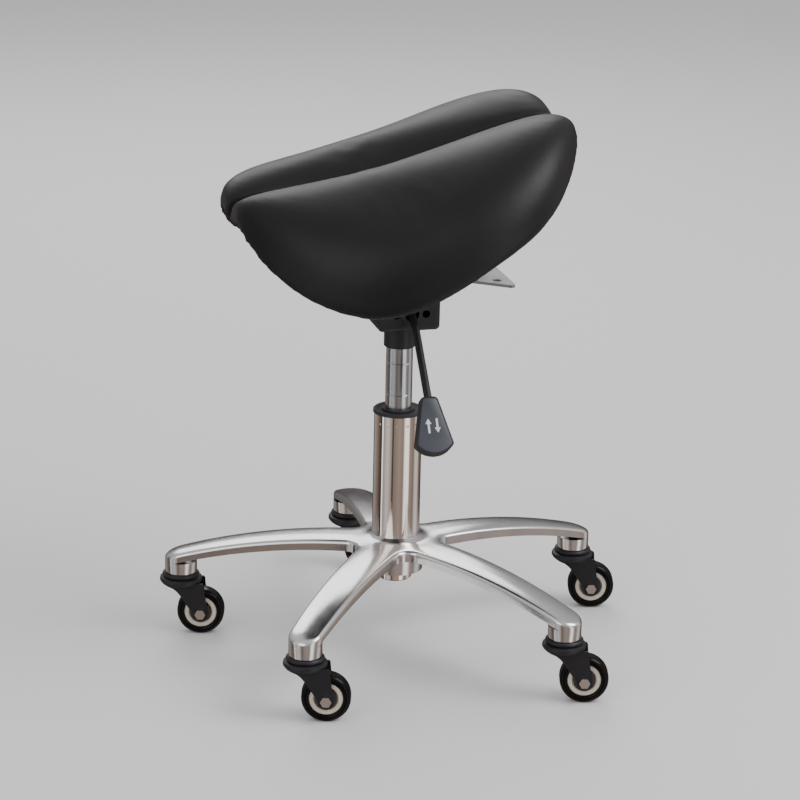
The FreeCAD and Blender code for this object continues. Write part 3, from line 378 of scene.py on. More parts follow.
def axes_at(origin: Vector, first: Vector, second: Vector, third: Vector) -> Matrix:
    """A frame from its origin and its X, Y and Z directions."""
    return Matrix.Translation(origin) @ Matrix((first, second, third)).transposed().to_4x4()


def arc_points(centre: tuple[float, float], radius: float, first: float, last: float,
               steps: int) -> list[tuple[float, float]]:
    """Points along an arc in a flat outline, angles in degrees."""
    turns = [math.radians(first + (last - first) * step / steps) for step in range(steps + 1)]
    return [(centre[0] + radius * math.cos(turn), centre[1] + radius * math.sin(turn)) for turn in turns]


def both_faces(upper: Profile) -> list[tuple[float, float]]:
    """A wheel's closed profile from its upper half, mirrored below."""
    return list(upper) + [(radius, -height) for radius, height in reversed(upper)]


def turned(name: str, profile: Profile, place: Matrix, sides: int = 72) -> Mesh:
    """Turn a closed profile of radius and height about the place's Z axis.

    Args:
        name: the mesh's name.
        profile: closed loop of (radius, height).
        place: where the axis stands.
        sides: faces round the axis.

    Returns:
        The ring-shaped mesh.
    """
    count = len(profile)
    points = []
    for side in range(sides):
        angle = 2 * math.pi * side / sides
        points += [place @ Vector((r * math.cos(angle), r * math.sin(angle), z)) for r, z in profile]
    faces = []
    for side in range(sides):
        here = side * count
        there = (side + 1) % sides * count
        for spot in range(count):
            ahead = (spot + 1) % count
            faces.append((here + spot, there + spot, there + ahead, here + ahead))
    return mesh_of(name, points, faces)


def stacked(name: str, loops: Sequence[Sequence[Vector]]) -> Mesh:
    """Skin closed loops one after another and close both ends.

    Args:
        name: the mesh's name.
        loops: loops of equally many points.

    Returns:
        The closed mesh.
    """
    count = len(loops[0])
    points = [point for loop in loops for point in loop]
    faces = []
    for level in range(len(loops) - 1):
        low = level * count
        high = low + count
        for spot in range(count):
            ahead = (spot + 1) % count
            faces.append((low + spot, low + ahead, high + ahead, high + spot))
    faces.append(tuple(range(count)))
    faces.append(tuple(range((len(loops) - 1) * count, len(loops) * count)))
    return mesh_of(name, points, faces)


def joined(name: str, meshes: Sequence[Mesh]) -> Mesh:
    """Several meshes in one."""
    whole = bpy.data.meshes.new(name)
    with editing(whole) as shape:
        for mesh in meshes:
            shape.from_mesh(mesh)
    return whole


class Pattern:
    """A Geometry Nodes tree that sets copies of a small form round an upright axis."""

    def __init__(self, name: str, finish: Finish) -> None:
        """Start the tree with its named inputs.

        Args:
            name: the tree's name.
            finish: the finish of the copies.
        """
        self.tree = bpy.data.node_groups.new(name, "GeometryNodeTree")
        self.finish = finish
        self.sockets: dict[str, str] = {}
        face = self.tree.interface
        face.new_socket("Geometry", in_out="INPUT", socket_type="NodeSocketGeometry")
        for label, kind in (("Count", "NodeSocketInt"), ("Radius", "NodeSocketFloat"),
                            ("Height", "NodeSocketFloat"), ("Turn", "NodeSocketFloat")):
            made = face.new_socket(label, in_out="INPUT", socket_type=kind)
            self.sockets[label] = made.identifier
        face.new_socket("Geometry", in_out="OUTPUT", socket_type="NodeSocketGeometry")
        self.wire()

    def wire(self) -> None:
        """Circle of points, copies turned outwards, realized and given their material."""
        add = Nodes(self.tree, "").add
        given = add("NodeGroupInput").outputs
        circle = add("GeometryNodeMeshCircle", Vertices=given["Count"], Radius=given["Radius"])
        rise = add("ShaderNodeCombineXYZ", Z=given["Height"])
        spin = add("ShaderNodeCombineXYZ", Z=given["Turn"])
        place = add("GeometryNodeTransform", Geometry=circle.outputs["Mesh"],
                    Translation=rise.outputs[0], Rotation=spin.outputs[0])
        flat = add("ShaderNodeVectorMath")
        flat.operation = "MULTIPLY"
        flat.inputs[1].default_value = (1.0, 1.0, 0.0)
        self.tree.links.new(add("GeometryNodeInputPosition").outputs[0], flat.inputs[0])
        outward = add("FunctionNodeAlignRotationToVector", Vector=flat.outputs[0])
        outward.axis = "X"
        outward.pivot_axis = "Z"
        copies = add("GeometryNodeInstanceOnPoints", Points=place.outputs["Geometry"],
                     Instance=given["Geometry"], Rotation=outward.outputs["Rotation"])
        real = add("GeometryNodeRealizeInstances", Geometry=copies.outputs["Instances"])
        paint = add("GeometryNodeSetMaterial", Geometry=real.outputs["Geometry"],
                    Material=self.finish.material())
        add("NodeGroupOutput", Geometry=paint.outputs["Geometry"])

    def lay(self, piece: Object, count: int, radius: float, height: float,
            turn: float) -> None:
        """Run the tree on a piece that holds one copy and keep the plain mesh.

        Args:
            piece: the object with the small form at its origin, facing +X.
            count: copies round the axis.
            radius: distance from the axis.
            height: height of the copies.
            turn: turn of the first copy, in radians.
        """
        modifier = piece.modifiers.new(self.tree.name, "NODES")
        modifier.node_group = self.tree
        for label, value in (("Count", count), ("Radius", radius), ("Height", height), ("Turn", turn)):
            modifier[self.sockets[label]] = value
        keep_modified(piece)


def keep_modified(piece: Object) -> None:
    """Keep what the modifiers make as a plain mesh and remove them."""
    bpy.context.view_layer.update()
    graph = bpy.context.evaluated_depsgraph_get()
    mesh = bpy.data.meshes.new_from_object(piece.evaluated_get(graph))
    piece.modifiers.clear()
    piece.data = mesh


def modify(piece: Object, kind: str, **settings: object) -> None:
    """Change a piece by one modifier and keep the result."""
    modifier = piece.modifiers.new(kind.lower(), kind)
    for name, value in settings.items():
        setattr(modifier, name, value)
    keep_modified(piece)


@dataclass
class Paddle:
    """Flared hand paddle: black moulding with a satin face that shows an up and a down arrow."""

    hand: Vector = field(default_factory=lambda: Vector((0.099, 0.004, 0.302)))
    slope: float = math.radians(56.4)
    length: float = 0.050
    top_half: float = 0.0085
    end_half: float = 0.020
    end_bow: float = 0.024
    thickness: float = 0.012
    corner: float = 0.0045
    face_inset: float = 0.0017
    face_rise: float = 0.0001
    arrow_ends: tuple[float, float] = (0.0235, 0.0385)
    arrow_side: float = 0.0045
    arrow_head: float = 0.0055
    head_half: float = 0.0032
    shaft_half: float = 0.0011

    def place(self) -> Matrix:
        """Frame of the paddle: X down the blade, Y across, Z out of the face."""
        down = Vector((math.cos(self.slope), 0, -math.sin(self.slope)))
        across = Vector((0, 1, 0))
        return axes_at(self.hand, down, across, down.cross(across))

    def outline(self) -> list[tuple[float, float]]:
        """Closed outline with a bowed end and rounded corners."""
        sagitta = self.end_bow - math.sqrt(self.end_bow ** 2 - self.end_half ** 2)
        centre = self.length + sagitta - self.end_bow
        swing = math.degrees(math.asin(self.end_half / self.end_bow))
        end = arc_points((centre, 0.0), self.end_bow, -swing, swing, 24)
        raw = [(0.0, -self.top_half)] + end + [(0.0, self.top_half)]
        return rounded_outline(raw, {0: self.corner, 1: self.corner, len(raw) - 2: self.corner,
                                     len(raw) - 1: self.corner})

    def loop(self, inset: float, height: float) -> list[Vector]:
        """The outline drawn in by an inset, at a height over the blade's middle."""
        spots = [Vector((x, y)) for x, y in self.outline()]
        place = self.place()
        count = len(spots)
        loop = []
        for number, spot in enumerate(spots):
            along = (spots[(number + 1) % count] - spots[number - 1]).normalized()
            inward = Vector((-along.y, along.x))
            moved = spot + inward * inset
            loop.append(place @ Vector((moved.x, moved.y, height)))
        return loop

    def build(self) -> None:
        """Moulding, face and arrows."""
        half = self.thickness / 2
        edge = 0.0016
        levels = [(2.2 * edge, -half), (edge, -half), (0.35 * edge, 0.3 * edge - half), (0.0, edge - half),
                  (0.0, half - edge), (0.35 * edge, half - 0.3 * edge), (edge, half - 0.05 * edge),
                  (self.face_inset, half), (2.0 * self.face_inset, half)]
        body = stacked("paddle_moulding", [self.loop(inset, height) for inset, height in levels])
        show("paddle_moulding", body, 50.0, Body.LEVER.value, PLASTIC, ["lever_paddle"])
        top = half + self.face_rise
        film = self.face_inset + 0.0006
        face = stacked("paddle_face", [self.loop(film, half - 0.0004), self.loop(film, half),
                                       self.loop(self.face_inset + 0.0010, top)])
        show("paddle_face", face, 30.0, Body.LEVER.value, FACE, [])
        self.arrows(top)

    def arrows(self, top: float) -> None:
        """Plain up and down arrows printed on the face."""
        place = self.place()
        meshes = []
        near, far = self.arrow_ends
        for tip, tail, side in ((near, far, -self.arrow_side), (far, near, self.arrow_side)):
            neck = tip - math.copysign(self.arrow_head, tip - tail)
            half = [(tip, 0.0), (neck, self.head_half), (neck, self.shaft_half), (tail, self.shaft_half)]
            mirrored = [(along, -across) for along, across in reversed(half[1:])]
            flat = [(along, side + across) for along, across in half + mirrored]
            loops = [[place @ Vector((x, y, height)) for x, y in flat]
                     for height in (top - 0.0001, top + 0.00004)]
            meshes.append(stacked("arrow", loops))
        fit(new_piece("paddle_arrows", joined("paddle_arrows", meshes)), Body.LEVER.value, PRINT, [])


def rounded_outline(raw: Profile, radii: dict[int, float]) -> list[tuple[float, float]]:
    """Round chosen corners of a closed outline with short arcs.

    Args:
        raw: the outline's corners.
        radii: rounding radius by corner number.

    Returns:
        The outline with arcs in place of those corners.
    """
    count = len(raw)
    points = []
    for number, corner in enumerate(raw):
        radius = radii.get(number)
        if radius is None:
            points.append(corner)
            continue
        here = Vector(corner)
        back = Vector(raw[number - 1]) - here
        ahead = Vector(raw[(number + 1) % count]) - here
        reach = min(radius, 0.8 * back.length, 0.8 * ahead.length)
        first = here + back.normalized() * reach
        last = here + ahead.normalized() * reach
        for step in range(7):
            share = step / 6
            low = first.lerp(here, share)
            high = here.lerp(last, share)
            spot = low.lerp(high, share)
            points.append((spot.x, spot.y))
    return points


@dataclass
class Caster:
    """One swivel caster's fork, tread and wheel core, round its own axle."""

    number: int
    half_room: float = 0.011
    sheet: float = 0.0028
    crown_radius: float = 0.0225
    crown_foot: float = 0.0558
    crown_top: float = 0.0635
    wheel_radius: float = 0.025
    tread_half: float = 0.010
    tread_round: float = 0.005
    core_radius: float = 0.017
    core_half: float = 0.0085
    bearing_radius: float = 0.011
    ridge: float = 0.012
    front_wrap: float = 0.0034
    wrap_reach: float = 0.020
    pin_bore: float = 0.0052
    trail: float = 0.0213
    eye: float = 0.008
    eye_height: float = 0.024
    leg_columns: int = 14
    sides: int = 96

    def node(self, word: str) -> str:
        """Name of one of this caster's nodes."""
        return "%s_%d" % (word, self.number)

    def axle(self) -> Vector:
        """Middle of the wheel."""
        low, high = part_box(self.node("wheel_tread"))
        return (low + high) / 2

    def pin(self) -> Vector:
        """Foot of the swivel axis."""
        low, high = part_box(self.node("caster_stem"))
        return Vector(((low.x + high.x) / 2, (low.y + high.y) / 2, 0.0))

    def heading(self) -> Vector:
        """Level direction from the swivel axis to the axle."""
        way = self.axle() - self.pin()
        way.z = 0.0
        return way.normalized()

    def fork_frame(self) -> Matrix:
        """X trails towards the axle, Y across the wheel, Z up, from the swivel axis."""
        ahead = self.heading()
        return axes_at(self.pin(), ahead, UP.cross(ahead), UP)

    def axle_frame(self) -> Matrix:
        """Z along the axle, from the wheel's middle."""
        ahead = self.heading()
        across = UP.cross(ahead)
        return axes_at(self.axle(), ahead, across.cross(ahead), across)

    def build(self) -> None:
        """Fork, tread and core."""
        self.tread()
        self.core()
        self.fork()

    def tread(self) -> None:
        """Rounded black tread with a bead line beside the core."""
        half = self.tread_half
        curve = self.tread_round
        top = arc_points((self.wheel_radius - curve, half - curve), curve, 90, 0, 10)
        side = [(self.core_radius, half - 0.0010), (self.core_radius + 0.0003, half - 0.0004),
                (self.core_radius + 0.0009, half - 0.0002), (self.core_radius + 0.0014, half - 0.0005),
                (self.core_radius + 0.0017, half - 0.0005), (self.core_radius + 0.0022, half - 0.0001)]
        mesh = turned(self.node("tread"), both_faces(side + top), self.axle_frame(), self.sides)
        show(self.node("tread"), mesh, 35.0, self.node("wheel"), TREAD, [self.node("wheel_tread")])

    def core(self) -> None:
        """Cream ring with rounded rims round the recess of its bearing."""
        half = self.core_half
        inner = self.bearing_radius
        upper = [(inner, half - 0.0028), (inner + 0.0006, half - 0.0022), (inner + 0.0012, half - 0.0008),
                 (inner + 0.0016, half - 0.0002), (inner + 0.0021, half), (self.core_radius - 0.0008, half),
                 (self.core_radius - 0.0002, half - 0.0002), (self.core_radius, half - 0.0008)]
        mesh = turned(self.node("core"), both_faces(upper), self.axle_frame(), self.sides)
        show(self.node("core"), mesh, 40.0, self.node("wheel"), CREAM, [self.node("wheel_core")])

    def fork(self) -> None:
        """Round crown with a rear lip and two legs whose front edges wrap inwards."""
        place = self.fork_frame()
        mesh = joined(self.node("fork"), [self.crown(place), self.leg(place, -1), self.leg(place, 1)])
        show(self.node("fork"), mesh, 38.0, self.node("caster"), PAINT, [self.node("caster_fork")])

    def crown(self, place: Matrix) -> Mesh:
        """Shallow pressed dish round the kingpin."""
        outer = self.crown_radius
        top = self.crown_top
        foot = self.crown_foot
        bore = self.pin_bore
        profile = [(bore, foot), (outer - 0.0040, foot), (outer - 0.0015, foot + 0.0008),
                   (outer - 0.0002, foot + 0.0028), (outer, top - 0.0034), (outer - 0.0005, top - 0.0016),
                   (outer - 0.0022, top - 0.0006), (outer - 0.0045, top), (bore, top)]
        return turned("crown", profile, place, self.sides)

    def leg(self, place: Matrix, side: int) -> Mesh:
        """One leg of the fork, seen from the wheel's side.

        Args:
            place: the fork's frame.
            side: 1 or -1 across the wheel.

        Returns:
            The closed leg.
        """
        columns = self.leg_columns
        loops = []
        for height, front, rear in self.leg_rows():
            outer = []
            inner = []
            for column in range(columns + 1):
                along = front + (rear - front) * column / columns
                wrap = max(0.0, min(1.0, (self.ridge - along) / self.wrap_reach))
                across = self.half_room + self.sheet - self.front_wrap * wrap * wrap
                outer.append(place @ Vector((along, side * across, height)))
                inner.append(place @ Vector((along, side * (across - self.sheet), height)))
            loops.append(outer + inner[::-1])
        return stacked("leg", loops)

    def leg_rows(self) -> list[tuple[float, float, float]]:
        """Height, front edge and rear edge down the leg, with a round eye at its foot."""
        trail, eye, centre = self.trail, self.eye, self.eye_height
        edges = [(0.0580, -0.0190, 0.0238), (0.0560, -0.0180, 0.0250), (0.0535, -0.0140, 0.0252),
                 (0.0508, -0.0080, 0.0254), (0.0480, -0.0038, 0.0257), (0.0440, -0.0002, 0.0262),
                 (0.0400, 0.0026, 0.0267), (0.0360, 0.0054, 0.0273), (0.0320, 0.0082, 0.0280),
                 (0.0280, 0.0110, 0.0287), (centre, trail - eye, trail + eye)]
        for step in range(1, 9):
            turn = math.pi / 2 * step / 9
            reach = eye * math.cos(turn)
            edges.append((centre - eye * math.sin(turn), trail - reach, trail + reach))
        return edges


@dataclass
class Star:
    """Cast star: five crowned arms with webs, hollow ribbed undersides, a barrel and round pods."""

    reach: float = 0.2275
    turn: float = math.radians(34.6)
    root_half: float = 0.024
    pod_radius: float = 0.017
    pod_foot: float = 0.068
    web_round: float = 0.015
    bore: float = 0.0251
    crown_root: float = 0.120
    crown_root_at: float = 0.028
    crown_tip: float = 0.088
    crown_tip_at: float = 0.2465
    crown_bow: float = 0.640
    side_root: float = 0.0135
    side_tip: float = 0.0110
    edge_round: float = 0.0034
    crowning: float = 0.0022
    flare: float = 0.0045
    flare_reach: float = 0.040
    wall: float = 0.004
    rib_half: float = 0.0015
    barrel_radius: float = 0.029
    barrel_foot: float = 0.085
    stem_bore: float = 0.0056
    pod_overlap: float = 0.004
    row_lead: float = 0.004
    columns: tuple[float, ...] = (0.0, 0.06, 0.14, 0.26, 0.40, 0.54, 0.66, 0.75, 0.82, 0.87, 0.91, 0.94,
                                  0.965, 0.985, 1.0)

    @property
    def sector(self) -> Vector:
        """Level direction half way between two arms, in the first arm's frame."""
        half = math.pi / CASTERS
        return Vector((math.cos(half), math.sin(half)))

    def side_line(self) -> tuple[Vector, Vector]:
        """A point of an arm's side and the direction along it."""
        start = Vector((0.0, self.root_half))
        return start, (Vector((self.reach, self.pod_radius)) - start).normalized()

    def arm_angle(self, number: int) -> float:
        """Direction of an arm."""
        return self.turn + 2 * math.pi * number / CASTERS

    def web(self) -> tuple[Vector, Vector]:
        """Centre of the web's round and where it meets the arm's side."""
        start, along = self.side_line()
        outward = Vector((-along.y, along.x))
        sector = self.sector
        far = (self.web_round + start.dot(outward)) / sector.dot(outward)
        centre = sector * far
        return centre, centre - outward * self.web_round

    def edge_points(self) -> list[tuple[float, Vector, bool]]:
        """Rows from the bore to the tip.

        Returns:
            For each row the place on the arm's middle line, its end at the side, and
            whether that end is on the casting's own edge.
        """
        sector = self.sector
        centre, meeting = self.web()
        notch = centre.length - self.web_round
        rows = []
        for share in (0.0, 0.08, 0.16, 0.24, 0.262, 0.32, 0.42, 0.54, 0.66, 0.77, 0.86, 0.93, 0.97):
            near = self.bore + (notch - self.bore) * share
            rows.append((near, sector * near, False))
        first = math.atan2(-sector.y, -sector.x)
        offset = meeting - centre
        last = math.atan2(offset.y, offset.x)
        steps = 18
        for step in range(steps + 1):
            turn = first + (last - first) * step / steps
            spot = centre + Vector((math.cos(turn), math.sin(turn))) * self.web_round
            middle = notch + (meeting.x + self.row_lead - notch) * step / steps
            rows.append((middle, spot, True))
        steps = 44
        for step in range(1, steps + 1):
            spot = meeting + (Vector((self.reach, self.pod_radius)) - meeting) * (step / steps)
            lead = self.row_lead * (1.0 - step / steps)
            rows.append((spot.x + lead, spot, True))
        steps = 14
        for step in range(1, steps + 1):
            turn = math.pi / 2 * (1.0 - step / steps)
            spot = Vector((self.reach + self.pod_radius * math.cos(turn), self.pod_radius * math.sin(turn)))
            rows.append((spot.x, spot, True))
        return rows

    def arch(self, away: float) -> float:
        """Height of the crown's arch at a distance from the column's axis."""
        start = Vector((self.crown_root_at, self.crown_root))
        finish = Vector((self.crown_tip_at, self.crown_tip))
        chord = finish - start
        half = chord.length / 2
        normal = Vector((chord.y, -chord.x)).normalized()
        centre = (start + finish) / 2 + normal * math.sqrt(self.crown_bow ** 2 - half ** 2)
        return centre.y + math.sqrt(max(self.crown_bow ** 2 - (away - centre.x) ** 2, 0.0))

    def top(self, spot: Vector, edge: float) -> float:
        """Height of the upper surface.

        Args:
            spot: place in plan.
            edge: distance from the casting's outline.

        Returns:
            The height, with the crown, the rounded edge and the flare at the column.
        """
        away = spot.length
        height = self.arch(away)
        room = max(0.0, 1.0 - edge / self.pod_radius)
        height -= self.crowning * room * room
        if edge < self.edge_round:
            gap = self.edge_round - edge
            height -= self.edge_round - math.sqrt(max(self.edge_round ** 2 - gap ** 2, 0.0))
        if away < self.flare_reach:
            share = (self.flare_reach - away) / (self.flare_reach - self.bore)
            height += self.flare * share * share * share
        return height

    def under(self, spot: Vector, edge: float) -> float:
        """Height of the lower surface: barrel, rim, rib and hollow."""
        away = spot.length
        if away <= self.barrel_radius:
            return self.barrel_foot
        share = min(1.0, away / self.reach)
        rim = self.arch(away) - self.side_root - (self.side_tip - self.side_root) * share
        roof = self.arch(away) - self.crowning - self.wall
        if edge < self.wall or away > self.reach - self.pod_radius:
            return rim
        if abs(spot.y) < self.rib_half and away > self.barrel_radius + self.wall:
            return rim + self.wall
        return roof

    def outline_tree(self, rows: Sequence[tuple[float, Vector, bool]]) -> KDTree:
        """Points close together along the outline round the first arm, for distances."""
        spots = []
        edge = [spot for _, spot, real in rows if real]
        for here, there in zip(edge, edge[1:]):
            parts = max(1, int((there - here).length / 0.0003))
            spots += [here.lerp(there, part / parts) for part in range(parts)]
        tree = KDTree(2 * len(spots))
        for number, spot in enumerate(spots):
            tree.insert(Vector((spot.x, spot.y, 0)), 2 * number)
            tree.insert(Vector((spot.x, -spot.y, 0)), 2 * number + 1)
        tree.balance()
        return tree

    def grid(self) -> tuple[list[list[Vector]], list[list[Vector]]]:
        """Upper and lower surface of one arm, row by row."""
        rows = self.edge_points()
        tree = self.outline_tree(rows)
        across = [-share for share in reversed(self.columns[1:])] + list(self.columns)
        upper, lower = [], []
        for middle, end, real in rows:
            high, low = [], []
            for share in across:
                spot = Vector((middle + (end.x - middle) * share * share, end.y * share))
                if not real:
                    angle = math.pi / CASTERS * share
                    spot = Vector((math.cos(angle), math.sin(angle))) * end.length
                _, _, edge = tree.find(Vector((spot.x, spot.y, 0)))
                if real and abs(share) == 1.0:
                    edge = 0.0
                high.append(Vector((spot.x, spot.y, self.top(spot, edge))))
                low.append(Vector((spot.x, spot.y, self.under(spot, edge))))
            upper.append(high)
            lower.append(low)
        return upper, lower

    def arm(self, number: int) -> Mesh:
        """One fifth of the star, open where it meets its neighbours."""
        upper, lower = self.grid()
        spin = Matrix.Rotation(self.arm_angle(number), 4, "Z")
        wide = len(upper[0])
        points = [spin @ point for surface in (upper, lower) for row in surface for point in row]
        base = len(upper) * wide
        faces = []
        for row in range(len(upper) - 1):
            for column in range(wide - 1):
                a = row * wide + column
                faces.append((a, a + wide, a + wide + 1, a + 1))
                faces.append((base + a, base + a + 1, base + a + wide + 1, base + a + wide))
        real = [row for row, (_, _, on_edge) in enumerate(self.edge_points()) if on_edge]
        for row in real[:-1]:
            for column in (0, wide - 1):
                a = row * wide + column
                faces.append((a, a + wide, base + a + wide, base + a))
        for column in range(wide - 1):
            faces.append((column, column + 1, base + column + 1, base + column))
        mesh = bpy.data.meshes.new("arm")
        mesh.from_pydata([tuple(point) for point in points], [], faces)
        return mesh

    def pod(self, number: int) -> Mesh:
        """Round pod under an arm's tip, with the bore of the caster's stem."""
        angle = self.arm_angle(number)
        place = Matrix.Translation((self.reach * math.cos(angle), self.reach * math.sin(angle), 0))
        outer = self.pod_radius
        foot = self.pod_foot
        top = self.crown_tip - self.side_tip + self.pod_overlap
        profile = [(self.stem_bore, foot), (outer - 0.0008, foot), (outer - 0.0002, foot + 0.0003),
                   (outer, foot + 0.0008), (outer, top), (self.stem_bore, top)]
        return turned("pod", profile, place, 96)

    def build(self) -> None:
        """The whole casting in place of its solid."""
        body = joined("star_body", [self.arm(number) for number in range(CASTERS)])
        with editing(body) as shape:
            bmesh.ops.remove_doubles(shape, verts=shape.verts, dist=WELD)
            bmesh.ops.dissolve_degenerate(shape, edges=shape.edges, dist=0.000005)
            bmesh.ops.recalc_face_normals(shape, faces=shape.faces)
        whole = joined("star_casting", [body] + [self.pod(number) for number in range(CASTERS)])
        show("star_casting", whole, 42.0, Body.BASE.value, CASTING, ["star_base"])


@dataclass
class Column:
    """Details of the column: press marks under its rim and ribs on the plastic collar."""

    radius: float = 0.025
    rim: float = 0.257
    mark_drop: float = 0.0095
    mark_size: float = 0.0016
    mark_count: int = 15
    rib_count: int = 24
    rib_radius: float = 0.0228

    def build(self) -> None:
        """Both rings of small forms."""
        self.marks()
        self.ribs()

    def marks(self) -> None:
        """Small round press marks that hold the bushing in the tube."""
        size = self.mark_size
        profile = [(0.0001, 0.00025), (size * 0.5, 0.00018), (size, -0.0001), (0.0001, -0.0004)]
        place = Matrix.Rotation(math.pi / 2, 4, "Y")
        piece = new_piece("press_marks", turned("press_marks", profile, place, 14))
        smooth_by_angle(piece.data, 60.0)
        Pattern("mark_ring", CHROME).lay(piece, self.mark_count, self.radius, self.rim - self.mark_drop,
                                         math.radians(-15.0))
        fit(piece, Body.BASE.value, CHROME, [])

    def ribs(self) -> None:
        """Short ribs across the dished top of the collar."""
        _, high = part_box("guide_bushing")
        half_x, half_y, half_z = 0.0018, 0.0004, 0.0006
        corners = [(-half_x, -half_y), (half_x, -half_y), (half_x, half_y), (-half_x, half_y)]
        loops = [[Vector((x, y, height)) for x, y in corners] for height in (-half_z, half_z)]
        piece = new_piece("collar_ribs", stacked("collar_ribs", loops))
        Pattern("rib_ring", PLASTIC).lay(piece, self.rib_count, self.rib_radius, high.z - 0.0012, 0.0)
        fit(piece, Body.BASE.value, PLASTIC, [])


@dataclass
class SeatHalf:
    """One leather cushion: foam on its shell, swollen by a cloth simulation."""

    side: Side
    voxel: float = 0.004
    shrink: float = 0.004
    held_below: float = -0.45
    stretch: float = 25.0
    bend: float = 4.0
    relax_first: int = 3
    relax_last: int = 6
    pressure: float = 4.0
    most_move: float = 0.009
    frames: int = 20

    @property
    def node(self) -> str:
        """The CAD solid that the cushion stands for."""
        return "cushion_" + self.side.word

    def build(self) -> Object:
        """Remesh the solid, swell it and smooth it.

        Returns:
            The finished cushion, not yet dressed.
        """
        piece = new_piece("leather_" + self.node, frame["nodes"][self.node].data.copy())
        with editing(piece.data) as shape:
            bmesh.ops.remove_doubles(shape, verts=shape.verts, dist=WELD)
        modify(piece, "REMESH", mode="VOXEL", voxel_size=self.voxel)
        self.relax(piece.data, self.relax_first)
        self.swell(piece)
        self.relax(piece.data, self.relax_last)
        modify(piece, "SUBSURF", levels=1, render_levels=1)
        smooth_by_angle(piece.data, 80.0)
        return piece

    def relax(self, mesh: Mesh, times: int) -> None:
        """Even out small steps that remeshing leaves."""
        with editing(mesh) as shape:
            for _ in range(times):
                bmesh.ops.smooth_vert(shape, verts=shape.verts, factor=0.5, use_axis_x=True,
                                      use_axis_y=True, use_axis_z=True)

    def swell(self, piece: Object) -> None:
        """Blow the cover up a little from inside, held where it lies on the shell."""
        start = [vertex.co.copy() for vertex in piece.data.vertices]
        normals = [vertex.normal.copy() for vertex in piece.data.vertices]
        for vertex, normal in zip(piece.data.vertices, normals):
            free = max(0.0, min(1.0, 2.0 * (normal.z - self.held_below)))
            vertex.co -= normal * self.shrink * free
        held = piece.vertex_groups.new(name="held")
        held.add([i for i, normal in enumerate(normals) if normal.z < self.held_below], 1.0, "REPLACE")
        cloth = piece.modifiers.new("cover", "CLOTH")
        settings = cloth.settings
        settings.use_pressure = True
        settings.uniform_pressure_force = self.pressure
        settings.vertex_group_mass = "held"
        settings.tension_stiffness = settings.compression_stiffness = self.stretch
        settings.bending_stiffness = self.bend
        settings.effector_weights.gravity = 0.0
        cloth.point_cache.frame_end = self.frames
        scene = bpy.context.scene
        for number in range(1, self.frames + 1):
            scene.frame_set(number)
        keep_modified(piece)
        scene.frame_set(1)
        for vertex, first in zip(piece.data.vertices, start):
            move = vertex.co - first
            if move.length > self.most_move:
                vertex.co = first + move.normalized() * self.most_move

    def dress(self, piece: Object) -> None:
        """Leather, riding on the seat in place of the solid."""
        fit(piece, Body.SEAT.value, LEATHER, [self.node])


